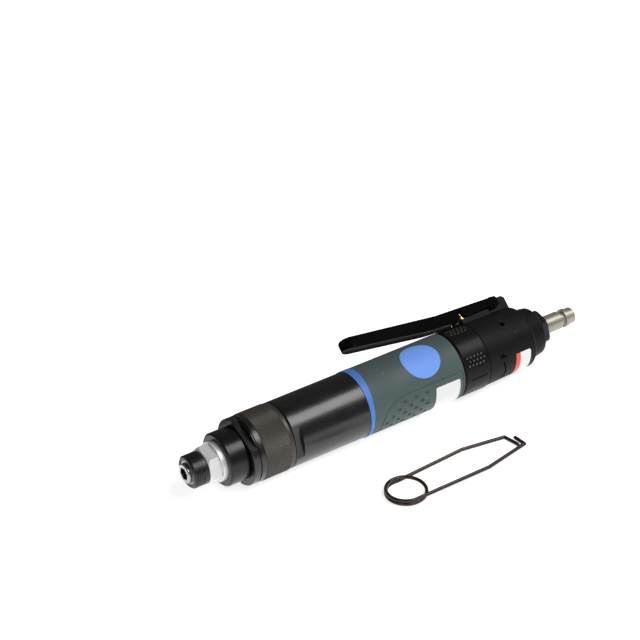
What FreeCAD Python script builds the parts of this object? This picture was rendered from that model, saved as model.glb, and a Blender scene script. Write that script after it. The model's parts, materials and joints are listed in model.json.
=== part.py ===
"""Straight pneumatic screwdriver with a throttle lever, lying on its side.

All lengths are millimetres and all angles are degrees. The tool's axis is the X axis. X is 0 at the mouth of
the bit socket and grows towards the air inlet. The pieces are drawn in the tool's own attitude, with the
throttle lever straight up, and are then rolled about the axis into the attitude in which the tool lies.
"""

import FreeCAD, Part
import math
import os

import Sketcher

SIZES = {
    "roll": 50.0,
    "running_gap": 0.03,
    "seat_gap": 0.02,
    "free_gap": 0.3,
    "edge_break": 0.5,
    "spindle_radius": 5.4,
    "socket_flats": 6.4,
    "socket_depth": 22.0,
    "bit_ball_radius": 1.2,
    "bit_ball_place": 9.1,
    "sleeve_front": 1.8,
    "sleeve_length": 8.3,
    "sleeve_radius": 9.0,
    "sleeve_chamfer": 0.9,
    "sleeve_groove_width": 0.5,
    "sleeve_groove_depth": 0.25,
    "sleeve_groove_step": 1.4,
    "sleeve_room": 6.9,
    "sleeve_land": 1.9,
    "snap_ring_width": 0.8,
    "snap_ring_depth": 0.5,
    "snap_ring_radius": 6.7,
    "nut_front": 10.4,
    "nut_hexagon_length": 6.1,
    "nut_flats": 19.0,
    "nut_chamfer": 1.2,
    "nut_groove": 0.6,
    "nut_flange_radius": 11.0,
    "nut_flange_length": 2.8,
    "nut_spigot_radius": 8.9,
    "nut_spigot_length": 4.0,
    "nose_length": 11.6,
    "nose_step": 0.8,
    "nose_chamfer": 0.9,
    "nose_rear_chamfer": 1.0,
    "collar_wall": 4.6,
    "nose_bearing_radius": 9.5,
    "nose_bearing_length": 7.0,
    "nose_wall": 1.9,
    "lock_ring_length": 7.2,
    "ring_radius": 18.4,
    "ring_front_edge": 0.4,
    "ring_groove_place": 2.7,
    "ring_groove_depth": 0.7,
    "ring_groove_width": 0.7,
    "ring_flats": 29.6,
    "ring_flat_angle": 71.5,
    "collar_length": 17.9,
    "collar_radius": 18.5,
    "knurl_start": 0.4,
    "knurl_length": 15.2,
    "collar_rear_gap": 0.6,
    "adjuster_travel": 1.25,
    "adjuster_start": 1.5,
    "adjuster_length": 4.8,
    "adjuster_bore": 6.9,
    "key_width": 4.0,
    "key_length": 3.0,
    "key_height": 2.5,
    "clutch_spring_wire": 1.9,
    "clutch_spring_turns": 2.0,
    "clutch_spring_length": 5.2,
    "thrust_washer_thickness": 1.0,
    "thrust_ball_radius": 0.8,
    "clutch_plate_radius": 10.6,
    "clutch_plate_thickness": 3.0,
    "clutch_ball_radius": 1.4,
    "clutch_ball_sink": 0.8,
    "clutch_ball_circle": 8.0,
    "driver_thickness": 2.8,
    "carrier_bearing_length": 6.0,
    "carrier_bearing_step": 0.4,
    "carrier_shaft_radius": 6.0,
    "carrier_thickness": 4.5,
    "carrier_radius": 11.5,
    "gear_module": 0.55,
    "sun_teeth": 15,
    "ring_teeth": 45,
    "planet_length": 5.8,
    "planet_pin_radius": 1.2,
    "planet_gap": 0.3,
    "ring_gear_wall": 1.8,
    "case_radius": 18.4,
    "case_front_step": 0.1,
    "case_front_bore_length": 8.7,
    "case_bore": 15.0,
    "case_visible_length": 46.7,
    "case_rear_radius": 16.6,
    "wrench_flats": 32.5,
    "wrench_flat_length": 4.7,
    "wrench_flat_start": 0.2,
    "wrench_flat_angle": 125.5,
    "blue_ring_length": 3.5,
    "blue_ring_slant": 1.6,
    "blue_ring_radius": 18.75,
    "grip_length": 58.2,
    "grip_radius": 18.6,
    "motor_start": 8.6,
    "end_plate_thickness": 6.5,
    "motor_length": 45.0,
    "motor_bore": 12.0,
    "motor_offset": 1.4,
    "rotor_radius": 10.3,
    "rotor_shaft_radius": 4.0,
    "motor_bearing_radius": 8.0,
    "motor_bearing_length": 5.0,
    "vane_count": 4,
    "vane_thickness": 1.6,
    "vane_height": 5.0,
    "cylinder_pin_radius": 1.0,
    "reverse_gap": 0.7,
    "reverse_length": 16.2,
    "reverse_radius": 18.5,
    "reverse_chamfer": 0.8,
    "reverse_turn": 55.0,
    "spigot_radius": 13.0,
    "spigot_bore": 9.9,
    "valve_tube_bore": 6.4,
    "reverse_pin_radius": 1.5,
    "reverse_pin_slot": 75.0,
    "detent_ball_radius": 1.5,
    "detent_circle": 15.6,
    "detent_depth": 0.7,
    "detent_spring_length": 5.0,
    "housing_gap": 0.3,
    "housing_length": 33.2,
    "housing_radius": 18.1,
    "housing_rear_radius": 17.2,
    "housing_round": 2.6,
    "platform_width": 13.0,
    "platform_height": 19.5,
    "platform_start": 1.2,
    "platform_length": 17.7,
    "boss_width": 7.8,
    "boss_start": 20.6,
    "boss_top": 24.0,
    "pivot_start": 23.5,
    "boss_rear_reach": 9.7,
    "pivot_height": 22.3,
    "pivot_pin_radius": 1.5,
    "stem_start": 4.8,
    "stem_radius": 1.05,
    "stem_top": 24.5,
    "stem_head_radius": 3.4,
    "stem_head_height": 3.2,
    "valve_bush_top": 22.9,
    "valve_bush_flange_top": 21.6,
    "valve_bush_flange_radius": 2.75,
    "valve_bush_tip_radius": 1.8,
    "valve_bush_radius": 4.0,
    "valve_bush_foot": 9.0,
    "valve_chamber_radius": 4.6,
    "valve_chamber_floor": -9.0,
    "valve_spring_radius": 2.6,
    "valve_spring_wire": 0.8,
    "valve_spring_turns": 4.0,
    "hanger_start": 17.0,
    "hanger_height": 7.1,
    "hanger_hole_radius": 1.3,
    "hanger_hole_depth": 5.0,
    "inlet_radius": 8.5,
    "inlet_depth": 12.5,
    "inlet_passage_radius": 6.2,
    "exhaust_collar_radius": 14.5,
    "exhaust_collar_rear_radius": 13.3,
    "exhaust_collar_gap": 0.3,
    "exhaust_collar_length": 8.3,
    "bush_flats": 18.0,
    "bush_hexagon_length": 5.4,
    "bush_bore": 5.0,
    "o_ring_wire": 0.8,
    "screen_thickness": 0.8,
    "plug_radius": 5.0,
    "plug_length": 22.6,
    "plug_neck_start": 12.8,
    "plug_collar_start": 15.7,
    "plug_collar_length": 2.1,
    "plug_collar_radius": 5.1,
    "plug_neck_radius": 3.7,
    "plug_head_radius": 4.5,
    "plug_bore": 2.7,
    "plug_thread_length": 9.0,
    "lever_width": 12.0,
    "lever_wall": 1.8,
    "lever_tip_reach": 93.1,
    "lever_tip_top": 34.5,
    "lever_bend_reach": 35.3,
    "lever_bend_top": 27.1,
    "lever_rear_reach": 4.0,
    "lever_rear_top": 25.3,
    "lever_tip_hollow_radius": 28.5,
    "lever_low_radius": 21.95,
    "lever_low_reach": 48.3,
    "lever_low_end_radius": 20.85,
    "lever_hollow_reach": 24.3,
    "lever_notch_front_reach": 24.1,
    "lever_notch_rear_reach": 18.7,
    "lever_notch_slant": 0.8,
    "lever_notch_wall": 2.0,
    "lever_cheek_low": 20.9,
    "lever_cheek_rear_low": 20.4,
    "lever_ear_radius": 3.5,
    "lever_pin_boss_radius": 3.0,
    "lever_pin_boss_height": 0.5,
    "lever_round": 2.2,
    "bail_wire": 2.0,
    "bail_ring_radius": 10.6,
    "bail_ring_x": 97.5,
    "bail_ring_y": -58.8,
}

doc = FreeCAD.newDocument("Screwdriver")
sheet = doc.addObject("Spreadsheet::Sheet", "Sizes")
for row, (name, value) in enumerate(SIZES.items(), start=1):
    sheet.set(f"A{row}", name)
    sheet.set(f"B{row}", str(value))
    sheet.setAlias(f"B{row}", name)
doc.recompute()


class Size:
    """A number together with the sheet expression that gives it."""

    def __init__(self, value, text):
        self.value = float(value)
        self.text = text

    def __add__(self, other):
        other = as_size(other)
        return Size(self.value + other.value, f"({self.text} + {other.text})")

    def __sub__(self, other):
        other = as_size(other)
        return Size(self.value - other.value, f"({self.text} - {other.text})")

    def __mul__(self, other):
        other = as_size(other)
        return Size(self.value * other.value, f"({self.text} * {other.text})")

    def __truediv__(self, other):
        other = as_size(other)
        return Size(self.value / other.value, f"({self.text} / {other.text})")

    def __radd__(self, other):
        return as_size(other) + self

    def __rsub__(self, other):
        return as_size(other) - self

    def __rmul__(self, other):
        return as_size(other) * self

    def __neg__(self):
        return Size(-self.value, f"(-1 * {self.text})")

    def __float__(self):
        return self.value

    def __int__(self):
        return int(self.value)


def as_size(number):
    """Give a plain number as a Size."""
    if isinstance(number, Size):
        return number
    return Size(number, repr(float(number)))


class Sheet:
    """The driving dimensions, by name."""

    def __getattr__(self, name):
        return Size(sheet.get(name), f"Sizes.{name}")


S = Sheet()
ATTITUDE = FreeCAD.Placement(
    FreeCAD.Vector(0, 0, 0), FreeCAD.Rotation(FreeCAD.Vector(1, 0, 0), -float(S.roll))
)
AS_DRAWN = FreeCAD.Placement()
nodes = []


def keep(label, item, placement=ATTITUDE):
    """Name a finished piece, roll it from where it was drawn into its attitude and list it for writing."""
    item.Label = label
    item.Placement = placement.multiply(item.Placement)
    nodes.append((label, item))
    return item


def new_body(name):
    """Start a body for one piece."""
    return doc.addObject("PartDesign::Body", f"{name}_body")


def plane_of(body, role):
    """Find one of a body's own origin planes."""
    for feature in body.Origin.OriginFeatures:
        if feature.Role == role:
            return feature
    raise ValueError(role)


def new_sketch(body, name, role, offset=0, turn=0):
    """Put an empty sketch on one of the body's planes, moved along its normal and turned about it."""
    sketch = body.newObject("Sketcher::SketchObject", name)
    sketch.AttachmentSupport = (plane_of(body, role), [""])
    sketch.MapMode = "FlatFace"
    offset = as_size(offset)
    turn = as_size(turn)
    sketch.AttachmentOffset = FreeCAD.Placement(
        FreeCAD.Vector(0, 0, offset.value), FreeCAD.Rotation(FreeCAD.Vector(0, 0, 1), turn.value)
    )
    sketch.setExpression("AttachmentOffset.Base.z", offset.text)
    if turn.value:
        sketch.setExpression("AttachmentOffset.Rotation.Angle", turn.text)
    return sketch


def fix_point(sketch, geometry, place, point):
    """Tie a point of the sketch to its two sizes."""
    for axis, kind, coordinate in ((-2, "DistanceX", point[0]), (-1, "DistanceY", point[1])):
        coordinate = as_size(coordinate)
        if coordinate.text == "0.0":
            sketch.addConstraint(Sketcher.Constraint("PointOnObject", geometry, place, axis))
            continue
        index = sketch.addConstraint(Sketcher.Constraint(kind, -1, 1, geometry, place, coordinate.value))
        sketch.setExpression(f"Constraints[{index}]", coordinate.text)


def draw_outline(sketch, points):
    """Draw a closed outline of straight lines through points given as pairs of sizes."""
    spots = [FreeCAD.Vector(float(x), float(y), 0) for x, y in points]
    first = sketch.GeometryCount
    for start, end in zip(spots, spots[1:] + spots[:1]):
        sketch.addGeometry(Part.LineSegment(start, end), False)
    count = len(spots)
    for step in range(count):
        sketch.addConstraint(
            Sketcher.Constraint("Coincident", first + step, 2, first + (step + 1) % count, 1)
        )
    for step, point in enumerate(points):
        fix_point(sketch, first + step, 1, point)


def draw_circle(sketch, radius, x=0, y=0):
    """Draw a circle of one size about a tied centre."""
    radius = as_size(radius)
    centre = FreeCAD.Vector(float(x), float(y), 0)
    index = sketch.addGeometry(Part.Circle(centre, FreeCAD.Vector(0, 0, 1), radius.value), False)
    fix_point(sketch, index, 3, (x, y))
    place = sketch.addConstraint(Sketcher.Constraint("Radius", index, radius.value))
    sketch.setExpression(f"Constraints[{place}]", radius.text)


def hexagon_points(flats):
    """Give the corners of a hexagon with two flats facing sideways."""
    flats = as_size(flats)
    half = flats / 2
    corner = flats * math.tan(math.radians(30)) / 2
    point = flats / math.cos(math.radians(30)) / 2
    return [
        (half, corner), (0, point), (-half, corner),
        (-half, -corner), (0, -point), (half, -corner),
    ]


def turned(name, profile, body=None):
    """Turn a profile of (place along the axis, radius) pairs about the tool's axis."""
    body = body or new_body(name)
    sketch = new_sketch(body, f"{name}_profile", "XY_Plane")
    draw_outline(sketch, profile)
    solid = body.newObject("PartDesign::Revolution", f"{name}_turning")
    solid.Profile = sketch
    solid.ReferenceAxis = (sketch, ["H_Axis"])
    solid.Angle = 360
    body.Tip = solid
    return body


def grooved(body, name, profile, angle=360, towards=0):
    """Cut a profile turned about the tool's axis out of a body, evenly to both sides of a direction."""
    sketch = new_sketch(body, f"{name}_profile", "XY_Plane")
    if float(towards):
        sketch.AttachmentOffset = FreeCAD.Placement(
            FreeCAD.Vector(0, 0, 0), FreeCAD.Rotation(FreeCAD.Vector(1, 0, 0), float(towards))
        )
    draw_outline(sketch, profile)
    cut = body.newObject("PartDesign::Groove", f"{name}_groove")
    cut.Profile = sketch
    cut.ReferenceAxis = (sketch, ["H_Axis"])
    cut.Angle = float(angle)
    if float(angle) != 360:
        cut.Midplane = True
        cut.setExpression("Angle", as_size(angle).text)
    body.Tip = cut
    return body


def tube(start, end, outer, inner):
    """Give the profile of a plain tube."""
    return [(start, inner), (end, inner), (end, outer), (start, outer)]


def rod(start, end, radius):
    """Give the profile of a plain round bar."""
    return [(start, 0), (end, 0), (end, radius), (start, radius)]


def pocketed(body, name, role, draw, length, offset=0, turn=0, forward=True, through=False):
    """Cut a sketch out of a body, along the plane's normal or evenly to both sides of the plane."""
    sketch = new_sketch(body, f"{name}_outline", role, offset, turn)
    draw(sketch)
    cut = body.newObject("PartDesign::Pocket", f"{name}_pocket")
    cut.Profile = sketch
    if through:
        cut.Type = "ThroughAll"
        cut.Midplane = True
    else:
        length = as_size(length)
        cut.Length = length.value
        cut.setExpression("Length", length.text)
        cut.Reversed = forward
    body.Tip = cut
    return cut


def padded(body, name, role, draw, length, offset=0, turn=0, middle=False):
    """Add a sketch raised from its plane, along the normal or evenly to both sides."""
    sketch = new_sketch(body, f"{name}_outline", role, offset, turn)
    draw(sketch)
    pad = body.newObject("PartDesign::Pad", f"{name}_pad")
    pad.Profile = sketch
    length = as_size(length)
    pad.Length = length.value
    pad.setExpression("Length", length.text)
    pad.Midplane = middle
    body.Tip = pad
    return pad


def patterned(body, feature, name, count):
    """Repeat a feature evenly about the tool's axis."""
    pattern = body.newObject("PartDesign::PolarPattern", f"{name}_pattern")
    pattern.Originals = [feature]
    axis = [item for item in body.Origin.OriginFeatures if item.Role == "X_Axis"][0]
    pattern.Axis = (axis, [""])
    pattern.Angle = 360
    pattern.Occurrences = count
    body.Tip = pattern
    return pattern


def rounded(body, name, radius, wanted):
    """Round the edges that the wanted test picks."""
    doc.recompute()
    base = body.Tip
    names = [f"Edge{number}" for number, edge in enumerate(base.Shape.Edges, start=1) if wanted(edge)]
    fillet = body.newObject("PartDesign::Fillet", f"{name}_fillet")
    fillet.Base = (base, names)
    radius = as_size(radius)
    fillet.Radius = radius.value
    fillet.setExpression("Radius", radius.text)
    body.Tip = fillet
    return fillet


def ball_ring(name, radius, circle, place, count, start_angle=0):
    """Set balls evenly on a circle about the tool's axis."""
    balls = []
    for number in range(count):
        ball = doc.addObject("Part::Sphere", f"{name}_{number + 1}")
        ball.setExpression("Radius", as_size(radius).text)
        angle = math.radians(start_angle + 360 * number / count)
        ball.Placement.Base = FreeCAD.Vector(
            float(place), -float(circle) * math.sin(angle), float(circle) * math.cos(angle)
        )
        balls.append(ball)
    group = doc.addObject("Part::Compound", f"{name}_group")
    group.Links = balls
    return group


def pin_ring(name, radius, circle, start, length, count):
    """Set straight pins evenly on a circle about the tool's axis."""
    pins = []
    for number in range(count):
        pin = doc.addObject("Part::Cylinder", f"{name}_{number + 1}")
        pin.setExpression("Radius", as_size(radius).text)
        pin.setExpression("Height", as_size(length).text)
        angle = 2 * math.pi * number / count
        pin.Placement = FreeCAD.Placement(
            FreeCAD.Vector(float(start), -float(circle) * math.sin(angle), float(circle) * math.cos(angle)),
            FreeCAD.Rotation(FreeCAD.Vector(0, 1, 0), 90),
        )
        pins.append(pin)
    group = doc.addObject("Part::Compound", f"{name}_group")
    group.Links = pins
    return group


def shaped(name, shape):
    """Hold a shape that no sketch or primitive gives."""
    item = doc.addObject("Part::Feature", f"{name}_shape")
    item.Shape = shape
    return item


def coil(start, length, radius, wire, turns):
    """Wind a closed coil spring along X. Length is the whole length of the spring."""
    start, length, radius, wire, turns = (float(item) for item in (start, length, radius, wire, turns))
    pitch = (length - wire) / turns
    path = Part.makeHelix(pitch, length - wire, radius)
    ring = Part.Wire(Part.Circle(FreeCAD.Vector(radius, 0, 0), FreeCAD.Vector(0, 1, 0), wire / 2).toShape())
    winding = Part.Wire(path.Edges).makePipeShell([ring], True, True)
    winding.rotate(FreeCAD.Vector(0, 0, 0), FreeCAD.Vector(0, 1, 0), 90)
    winding.translate(FreeCAD.Vector(start + wire / 2, 0, 0))
    return winding


def involute_angle(base, radius):
    """Give the angle that an involute has turned through at a radius."""
    if radius <= base:
        return 0.0
    slope = math.sqrt((radius / base) ** 2 - 1)
    return slope - math.atan(slope)


def tooth_outline(teeth, module, inside, shave):
    """Give the corner points of a gear's outline, with a tooth, or inside a ring a gap, centred on +Z."""
    pitch = module * teeth / 2
    base = pitch * math.cos(math.radians(20))
    if inside:
        low, high = pitch - 0.93 * module, pitch + 1.2 * module
    else:
        low, high = pitch - 1.22 * module, pitch + module
    half = math.pi / (2 * teeth) + involute_angle(base, pitch)
    half += shave / pitch if inside else -shave / pitch
    steps = 3
    flank = []
    for step in range(steps + 1):
        radius = low + (high - low) * step / steps
        flank.append((radius, half - involute_angle(base, radius)))
    outline = []
    for tooth in range(teeth):
        centre = 2 * math.pi * tooth / teeth
        outline += [(radius, centre - angle) for radius, angle in flank]
        outline += [(radius, centre + angle) for radius, angle in reversed(flank)]
    return [
        FreeCAD.Vector(0, -radius * math.sin(angle), radius * math.cos(angle))
        for radius, angle in outline
    ]


def gear(teeth, start, length, bore, outside=None, shave=0.04):
    """Make a spur gear about the X axis, or a ring gear where an outside radius is given."""
    points = tooth_outline(int(teeth), float(S.gear_module), outside is not None, shave)
    outline = Part.Wire(Part.makePolygon(points + points[:1]))
    along = FreeCAD.Vector(float(length), 0, 0)
    body = Part.Face(outline).extrude(along)
    if outside is not None:
        blank = Part.makeCylinder(
            float(outside), float(length), FreeCAD.Vector(0, 0, 0), FreeCAD.Vector(1, 0, 0)
        )
        body = blank.cut(body)
    elif float(bore):
        hole = Part.makeCylinder(
            float(bore), float(length), FreeCAD.Vector(0, 0, 0), FreeCAD.Vector(1, 0, 0)
        )
        body = body.cut(hole)
    body.translate(FreeCAD.Vector(float(start), 0, 0))
    return body


# Places along the axis, each from the piece in front of it
sleeve_rear = S.sleeve_front + S.sleeve_length
nut_groove_start = S.nut_front + S.nut_hexagon_length
nut_flange_start = nut_groove_start + S.nut_groove
nose_front = nut_flange_start + S.nut_flange_length
nose_rear = nose_front + S.nose_length
bearing_seat = nose_front + S.nut_spigot_length
bearing_end = bearing_seat + S.nose_bearing_length
lock_ring_rear = nose_rear + S.lock_ring_length
collar_front = lock_ring_rear
collar_rear = collar_front + S.collar_length
nose_tube_radius = S.collar_radius - S.collar_wall
nose_radius = nose_tube_radius + S.nose_step
nose_bore = nose_tube_radius - S.nose_wall
key_radius = nose_tube_radius + S.key_height
carrier_bearing_radius = nose_bore + S.carrier_bearing_step
case_front_bore = nose_tube_radius + S.case_front_step
adjuster_front = collar_front + S.adjuster_start
case_front = collar_rear + S.collar_rear_gap
adjuster_rear = adjuster_front + S.adjuster_length
clutch_spring_rear = adjuster_rear + S.clutch_spring_length
washer_rear = clutch_spring_rear + S.thrust_washer_thickness
plate_front = washer_rear + S.thrust_ball_radius * 1.5
plate_rear = plate_front + S.clutch_plate_thickness
clutch_ball_place = plate_rear + S.clutch_ball_radius - S.clutch_ball_sink
driver_front = clutch_ball_place + S.clutch_ball_radius - S.clutch_ball_sink
driver_rear = driver_front + S.driver_thickness
carrier_bearing_front = driver_rear + S.free_gap
carrier_bearing_rear = carrier_bearing_front + S.carrier_bearing_length
output_carrier_front = carrier_bearing_rear + S.free_gap
output_carrier_rear = output_carrier_front + S.carrier_thickness
output_planet_start = output_carrier_rear + S.planet_gap
input_carrier_front = output_planet_start + S.planet_length + S.planet_gap * 4
input_carrier_rear = input_carrier_front + S.carrier_thickness
input_planet_start = input_carrier_rear + S.planet_gap
input_planet_end = input_planet_start + S.planet_length
motor_front = input_planet_end + S.motor_start
motor_plate_rear = motor_front + S.end_plate_thickness
motor_rear = motor_plate_rear + S.motor_length
rear_plate_rear = motor_rear + S.end_plate_thickness
blue_front = case_front + S.case_visible_length
grip_front = blue_front + S.blue_ring_length
grip_rear = grip_front + S.grip_length
reverse_front = grip_rear + S.reverse_gap
reverse_rear = reverse_front + S.reverse_length
housing_front = reverse_rear + S.housing_gap
housing_rear = housing_front + S.housing_length
exhaust_collar_front = housing_rear + S.exhaust_collar_gap
platform_front = housing_front + S.platform_start
platform_rear = platform_front + S.platform_length
stem_place = housing_front + S.stem_start
hanger_place = housing_front + S.hanger_start
boss_front = housing_front + S.boss_start
pivot_place = housing_front + S.pivot_start
boss_rear = pivot_place + S.boss_rear_reach
lever_tip = pivot_place - S.lever_tip_reach
lever_low_front = pivot_place - S.lever_low_reach
lever_bend = pivot_place - S.lever_bend_reach
lever_hollow_front = pivot_place - S.lever_hollow_reach
lever_notch_front = pivot_place - S.lever_notch_front_reach
lever_notch_rear = pivot_place - S.lever_notch_rear_reach
lever_rear = pivot_place + S.lever_rear_reach
planet_circle = S.gear_module * S.sun_teeth
ring_gear_radius = S.gear_module * S.ring_teeth / 2 + S.gear_module * 1.2 + S.ring_gear_wall
sun_tip = S.gear_module * S.sun_teeth / 2 + S.gear_module


def make_spindle():
    """Bit holder, shaft and driven clutch plate in one."""
    shoulder = bearing_end + S.free_gap
    body = turned("spindle", [
        (0, 0), (plate_rear, 0), (plate_rear, S.clutch_plate_radius), (plate_front, S.clutch_plate_radius),
        (plate_front, S.spindle_radius + 1), (shoulder, S.spindle_radius + 1),
        (shoulder, S.spindle_radius), (S.edge_break, S.spindle_radius), (0, S.spindle_radius - S.edge_break),
    ])
    pocketed(
        body, "socket", "YZ_Plane", lambda sketch: draw_outline(sketch, hexagon_points(S.socket_flats)),
        S.socket_depth,
    )
    pocketed(
        body, "ball_hole", "XY_Plane",
        lambda sketch: draw_circle(sketch, S.bit_ball_radius + S.running_gap, S.bit_ball_place, 0),
        S.spindle_radius + 1, forward=True,
    )
    ring_front = S.sleeve_front + S.free_gap
    grooved(body, "snap_ring_seat", tube(
        ring_front, ring_front + S.snap_ring_width, S.spindle_radius + 1, S.spindle_radius - S.snap_ring_depth,
    ))
    seat = pocketed(
        body, "clutch_ball_seat", "YZ_Plane",
        lambda sketch: draw_circle(sketch, S.clutch_ball_radius + S.running_gap, 0, S.clutch_ball_circle),
        S.clutch_ball_sink + S.running_gap, offset=plate_rear, forward=False,
    )
    patterned(body, seat, "clutch_ball_seats", 6)
    keep("spindle", body)


def make_bit_holder():
    """Quick-change sleeve with its ball, spring and snap ring."""
    ring_front = S.sleeve_front + S.free_gap
    ring_rear = ring_front + S.snap_ring_width
    land_rear = sleeve_rear - 0.2
    land_front = land_rear - S.sleeve_land
    outside = []
    for number in (4, 3, 2, 1):
        middle = S.sleeve_front + S.sleeve_groove_step * number
        front, rear = middle - S.sleeve_groove_width / 2, middle + S.sleeve_groove_width / 2
        bottom = S.sleeve_radius - S.sleeve_groove_depth
        outside += [(rear, S.sleeve_radius), (rear, bottom), (front, bottom), (front, S.sleeve_radius)]
    body = turned("bit_sleeve", [
        (S.sleeve_front, S.sleeve_room), (land_front, S.sleeve_room),
        (land_front, S.spindle_radius + S.running_gap), (land_rear, S.spindle_radius + S.running_gap),
        (land_rear, S.sleeve_room), (sleeve_rear, S.sleeve_room), (sleeve_rear, S.sleeve_radius - 0.4),
        (sleeve_rear - 0.4, S.sleeve_radius), *outside,
        (S.sleeve_front + S.sleeve_chamfer, S.sleeve_radius),
        (S.sleeve_front, S.sleeve_radius - S.sleeve_chamfer),
    ])
    keep("bit_sleeve", body)
    keep("bit_sleeve_snap_ring", turned("bit_sleeve_snap_ring", tube(
        ring_front + S.seat_gap, ring_rear - S.seat_gap, S.snap_ring_radius,
        S.spindle_radius - S.snap_ring_depth + S.seat_gap,
    )))
    spring_length = land_front - ring_rear
    keep("bit_sleeve_spring", shaped("bit_sleeve_spring", coil(
        ring_rear, spring_length, S.spindle_radius + 0.75, 0.7, 3,
    )))
    ball = doc.addObject("Part::Sphere", "bit_ball_sphere")
    ball.setExpression("Radius", S.bit_ball_radius.text)
    ball.Placement.Base = FreeCAD.Vector(
        float(S.bit_ball_place), 0, float(S.spindle_radius - S.bit_ball_radius)
    )
    keep("bit_ball", ball)


def make_nose():
    """Bright front nut, nose housing with its bearing, lock ring, torque collar and spring adjuster."""
    nut = new_body("spindle_nut")
    turned("nut_blank", [
        (S.nut_front, S.spindle_radius + S.free_gap), (nose_front + S.nut_spigot_length, S.spindle_radius
         + S.free_gap), (nose_front + S.nut_spigot_length, S.nut_spigot_radius),
        (nose_front, S.nut_spigot_radius), (nose_front, S.nut_flange_radius),
        (nut_flange_start, S.nut_flange_radius), (nut_flange_start, S.nut_flats / 2),
        (nut_groove_start, S.nut_flats / 2), (nut_groove_start, S.nut_flange_radius),
        (S.nut_front + S.nut_chamfer, S.nut_flange_radius), (S.nut_front, S.nut_flats / 2 - 0.2),
    ], nut)
    half = S.nut_flats / 2
    reach = S.nut_flange_radius + 1
    flat = pocketed(
        nut, "nut_flat", "YZ_Plane",
        lambda sketch: draw_outline(sketch, [(-reach, half), (reach, half), (reach, reach), (-reach, reach)]),
        S.nut_hexagon_length, offset=S.nut_front,
    )
    patterned(nut, flat, "nut_flats", 6)
    keep("spindle_nut", nut)

    rear = case_front + S.case_front_bore_length
    step = carrier_bearing_front - S.free_gap / 2
    nose = turned("nose_housing", [
        (nose_front, S.nut_spigot_radius + S.seat_gap), (bearing_seat, S.nut_spigot_radius + S.seat_gap),
        (bearing_seat, S.nose_bearing_radius), (bearing_end, S.nose_bearing_radius),
        (bearing_end, nose_bore), (step, nose_bore),
        (step, carrier_bearing_radius + S.seat_gap), (rear, carrier_bearing_radius + S.seat_gap),
        (rear, case_front_bore - S.seat_gap), (case_front, case_front_bore - S.seat_gap),
        (case_front, nose_tube_radius), (nose_rear, nose_tube_radius),
        (nose_rear - S.nose_rear_chamfer, nose_radius), (nose_front + S.nose_chamfer, nose_radius),
        (nose_front, nose_radius - S.nose_chamfer),
    ])
    slot_front = adjuster_front + (S.adjuster_length - S.key_length) / 2 - S.adjuster_travel - 0.15
    slot_rear = adjuster_front + (S.adjuster_length + S.key_length) / 2 + 0.15
    half_slot = S.key_width / 2 + 0.1
    slot = pocketed(
        nose, "key_slot", "XY_Plane",
        lambda sketch: draw_outline(sketch, [
            (slot_front, -half_slot), (slot_rear, -half_slot),
            (slot_rear, half_slot), (slot_front, half_slot),
        ]), nose_radius + 1, forward=True,
    )
    patterned(nose, slot, "key_slots", 3)
    keep("nose_housing", nose)

    keep("nose_bearing", bearing(
        "nose_bearing", bearing_seat, bearing_end, S.spindle_radius + S.running_gap,
        S.nose_bearing_radius - S.seat_gap,
    ))
    groove = lock_ring_rear - S.ring_groove_place
    ring = turned("front_lock_ring", [
        (nose_rear, nose_tube_radius + S.seat_gap), (lock_ring_rear, nose_tube_radius + S.seat_gap),
        (lock_ring_rear, S.ring_radius), (groove, S.ring_radius),
        (groove, S.ring_radius - S.ring_groove_depth),
        (groove - S.ring_groove_width, S.ring_radius - S.ring_groove_depth),
        (groove - S.ring_groove_width, S.ring_radius), (nose_rear + S.ring_front_edge, S.ring_radius),
        (nose_rear, S.ring_radius - S.ring_front_edge),
    ])
    wrench_flats(
        ring, "ring_flat", S.ring_flats, S.ring_radius + 1, nose_rear,
        groove - S.ring_groove_width - nose_rear, S.ring_flat_angle,
    )
    keep("front_lock_ring", ring)
    collar = turned("torque_collar", [
        (collar_front + 0.05, nose_tube_radius + S.running_gap),
        (slot_front, nose_tube_radius + S.running_gap),
        (slot_front, key_radius + 0.3), (slot_rear, key_radius + 0.3),
        (slot_rear, nose_tube_radius + S.running_gap), (collar_rear, nose_tube_radius + S.running_gap),
        (collar_rear, S.collar_radius - 0.3), (collar_rear - 0.5, S.collar_radius - 0.1),
        (collar_front + S.knurl_start + S.knurl_length + 0.4, S.collar_radius - 0.1),
        (collar_front + S.knurl_start + S.knurl_length, S.collar_radius),
        (collar_front + S.knurl_start, S.collar_radius), (collar_front + 0.05, S.collar_radius - 0.3),
    ])
    keep("torque_collar", collar)

    adjuster = turned("spring_adjuster", tube(
        adjuster_front, adjuster_rear, nose_bore - 0.1, S.adjuster_bore,
    ))
    half_key = S.key_width / 2
    key_front = adjuster_front + (S.adjuster_length - S.key_length) / 2
    key = padded(
        adjuster, "key", "XY_Plane",
        lambda sketch: draw_outline(sketch, [
            (key_front, -half_key), (key_front + S.key_length, -half_key),
            (key_front + S.key_length, half_key), (key_front, half_key),
        ]), key_radius - S.adjuster_bore - 1, offset=S.adjuster_bore + 1,
    )
    patterned(adjuster, key, "keys", 3)
    keep("spring_adjuster", adjuster)


def bearing(name, start, end, inner, outer):
    """Make a shielded ball bearing as one ring with its shield grooves."""
    wall = outer - inner
    low = inner + wall * 0.3
    high = inner + wall * 0.7
    dip = 0.4
    return turned(name, [
        (start, inner), (end, inner), (end, low), (end - dip, low), (end - dip, high), (end, high),
        (end, outer), (start, outer), (start, high), (start + dip, high), (start + dip, low), (start, low),
    ])


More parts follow.
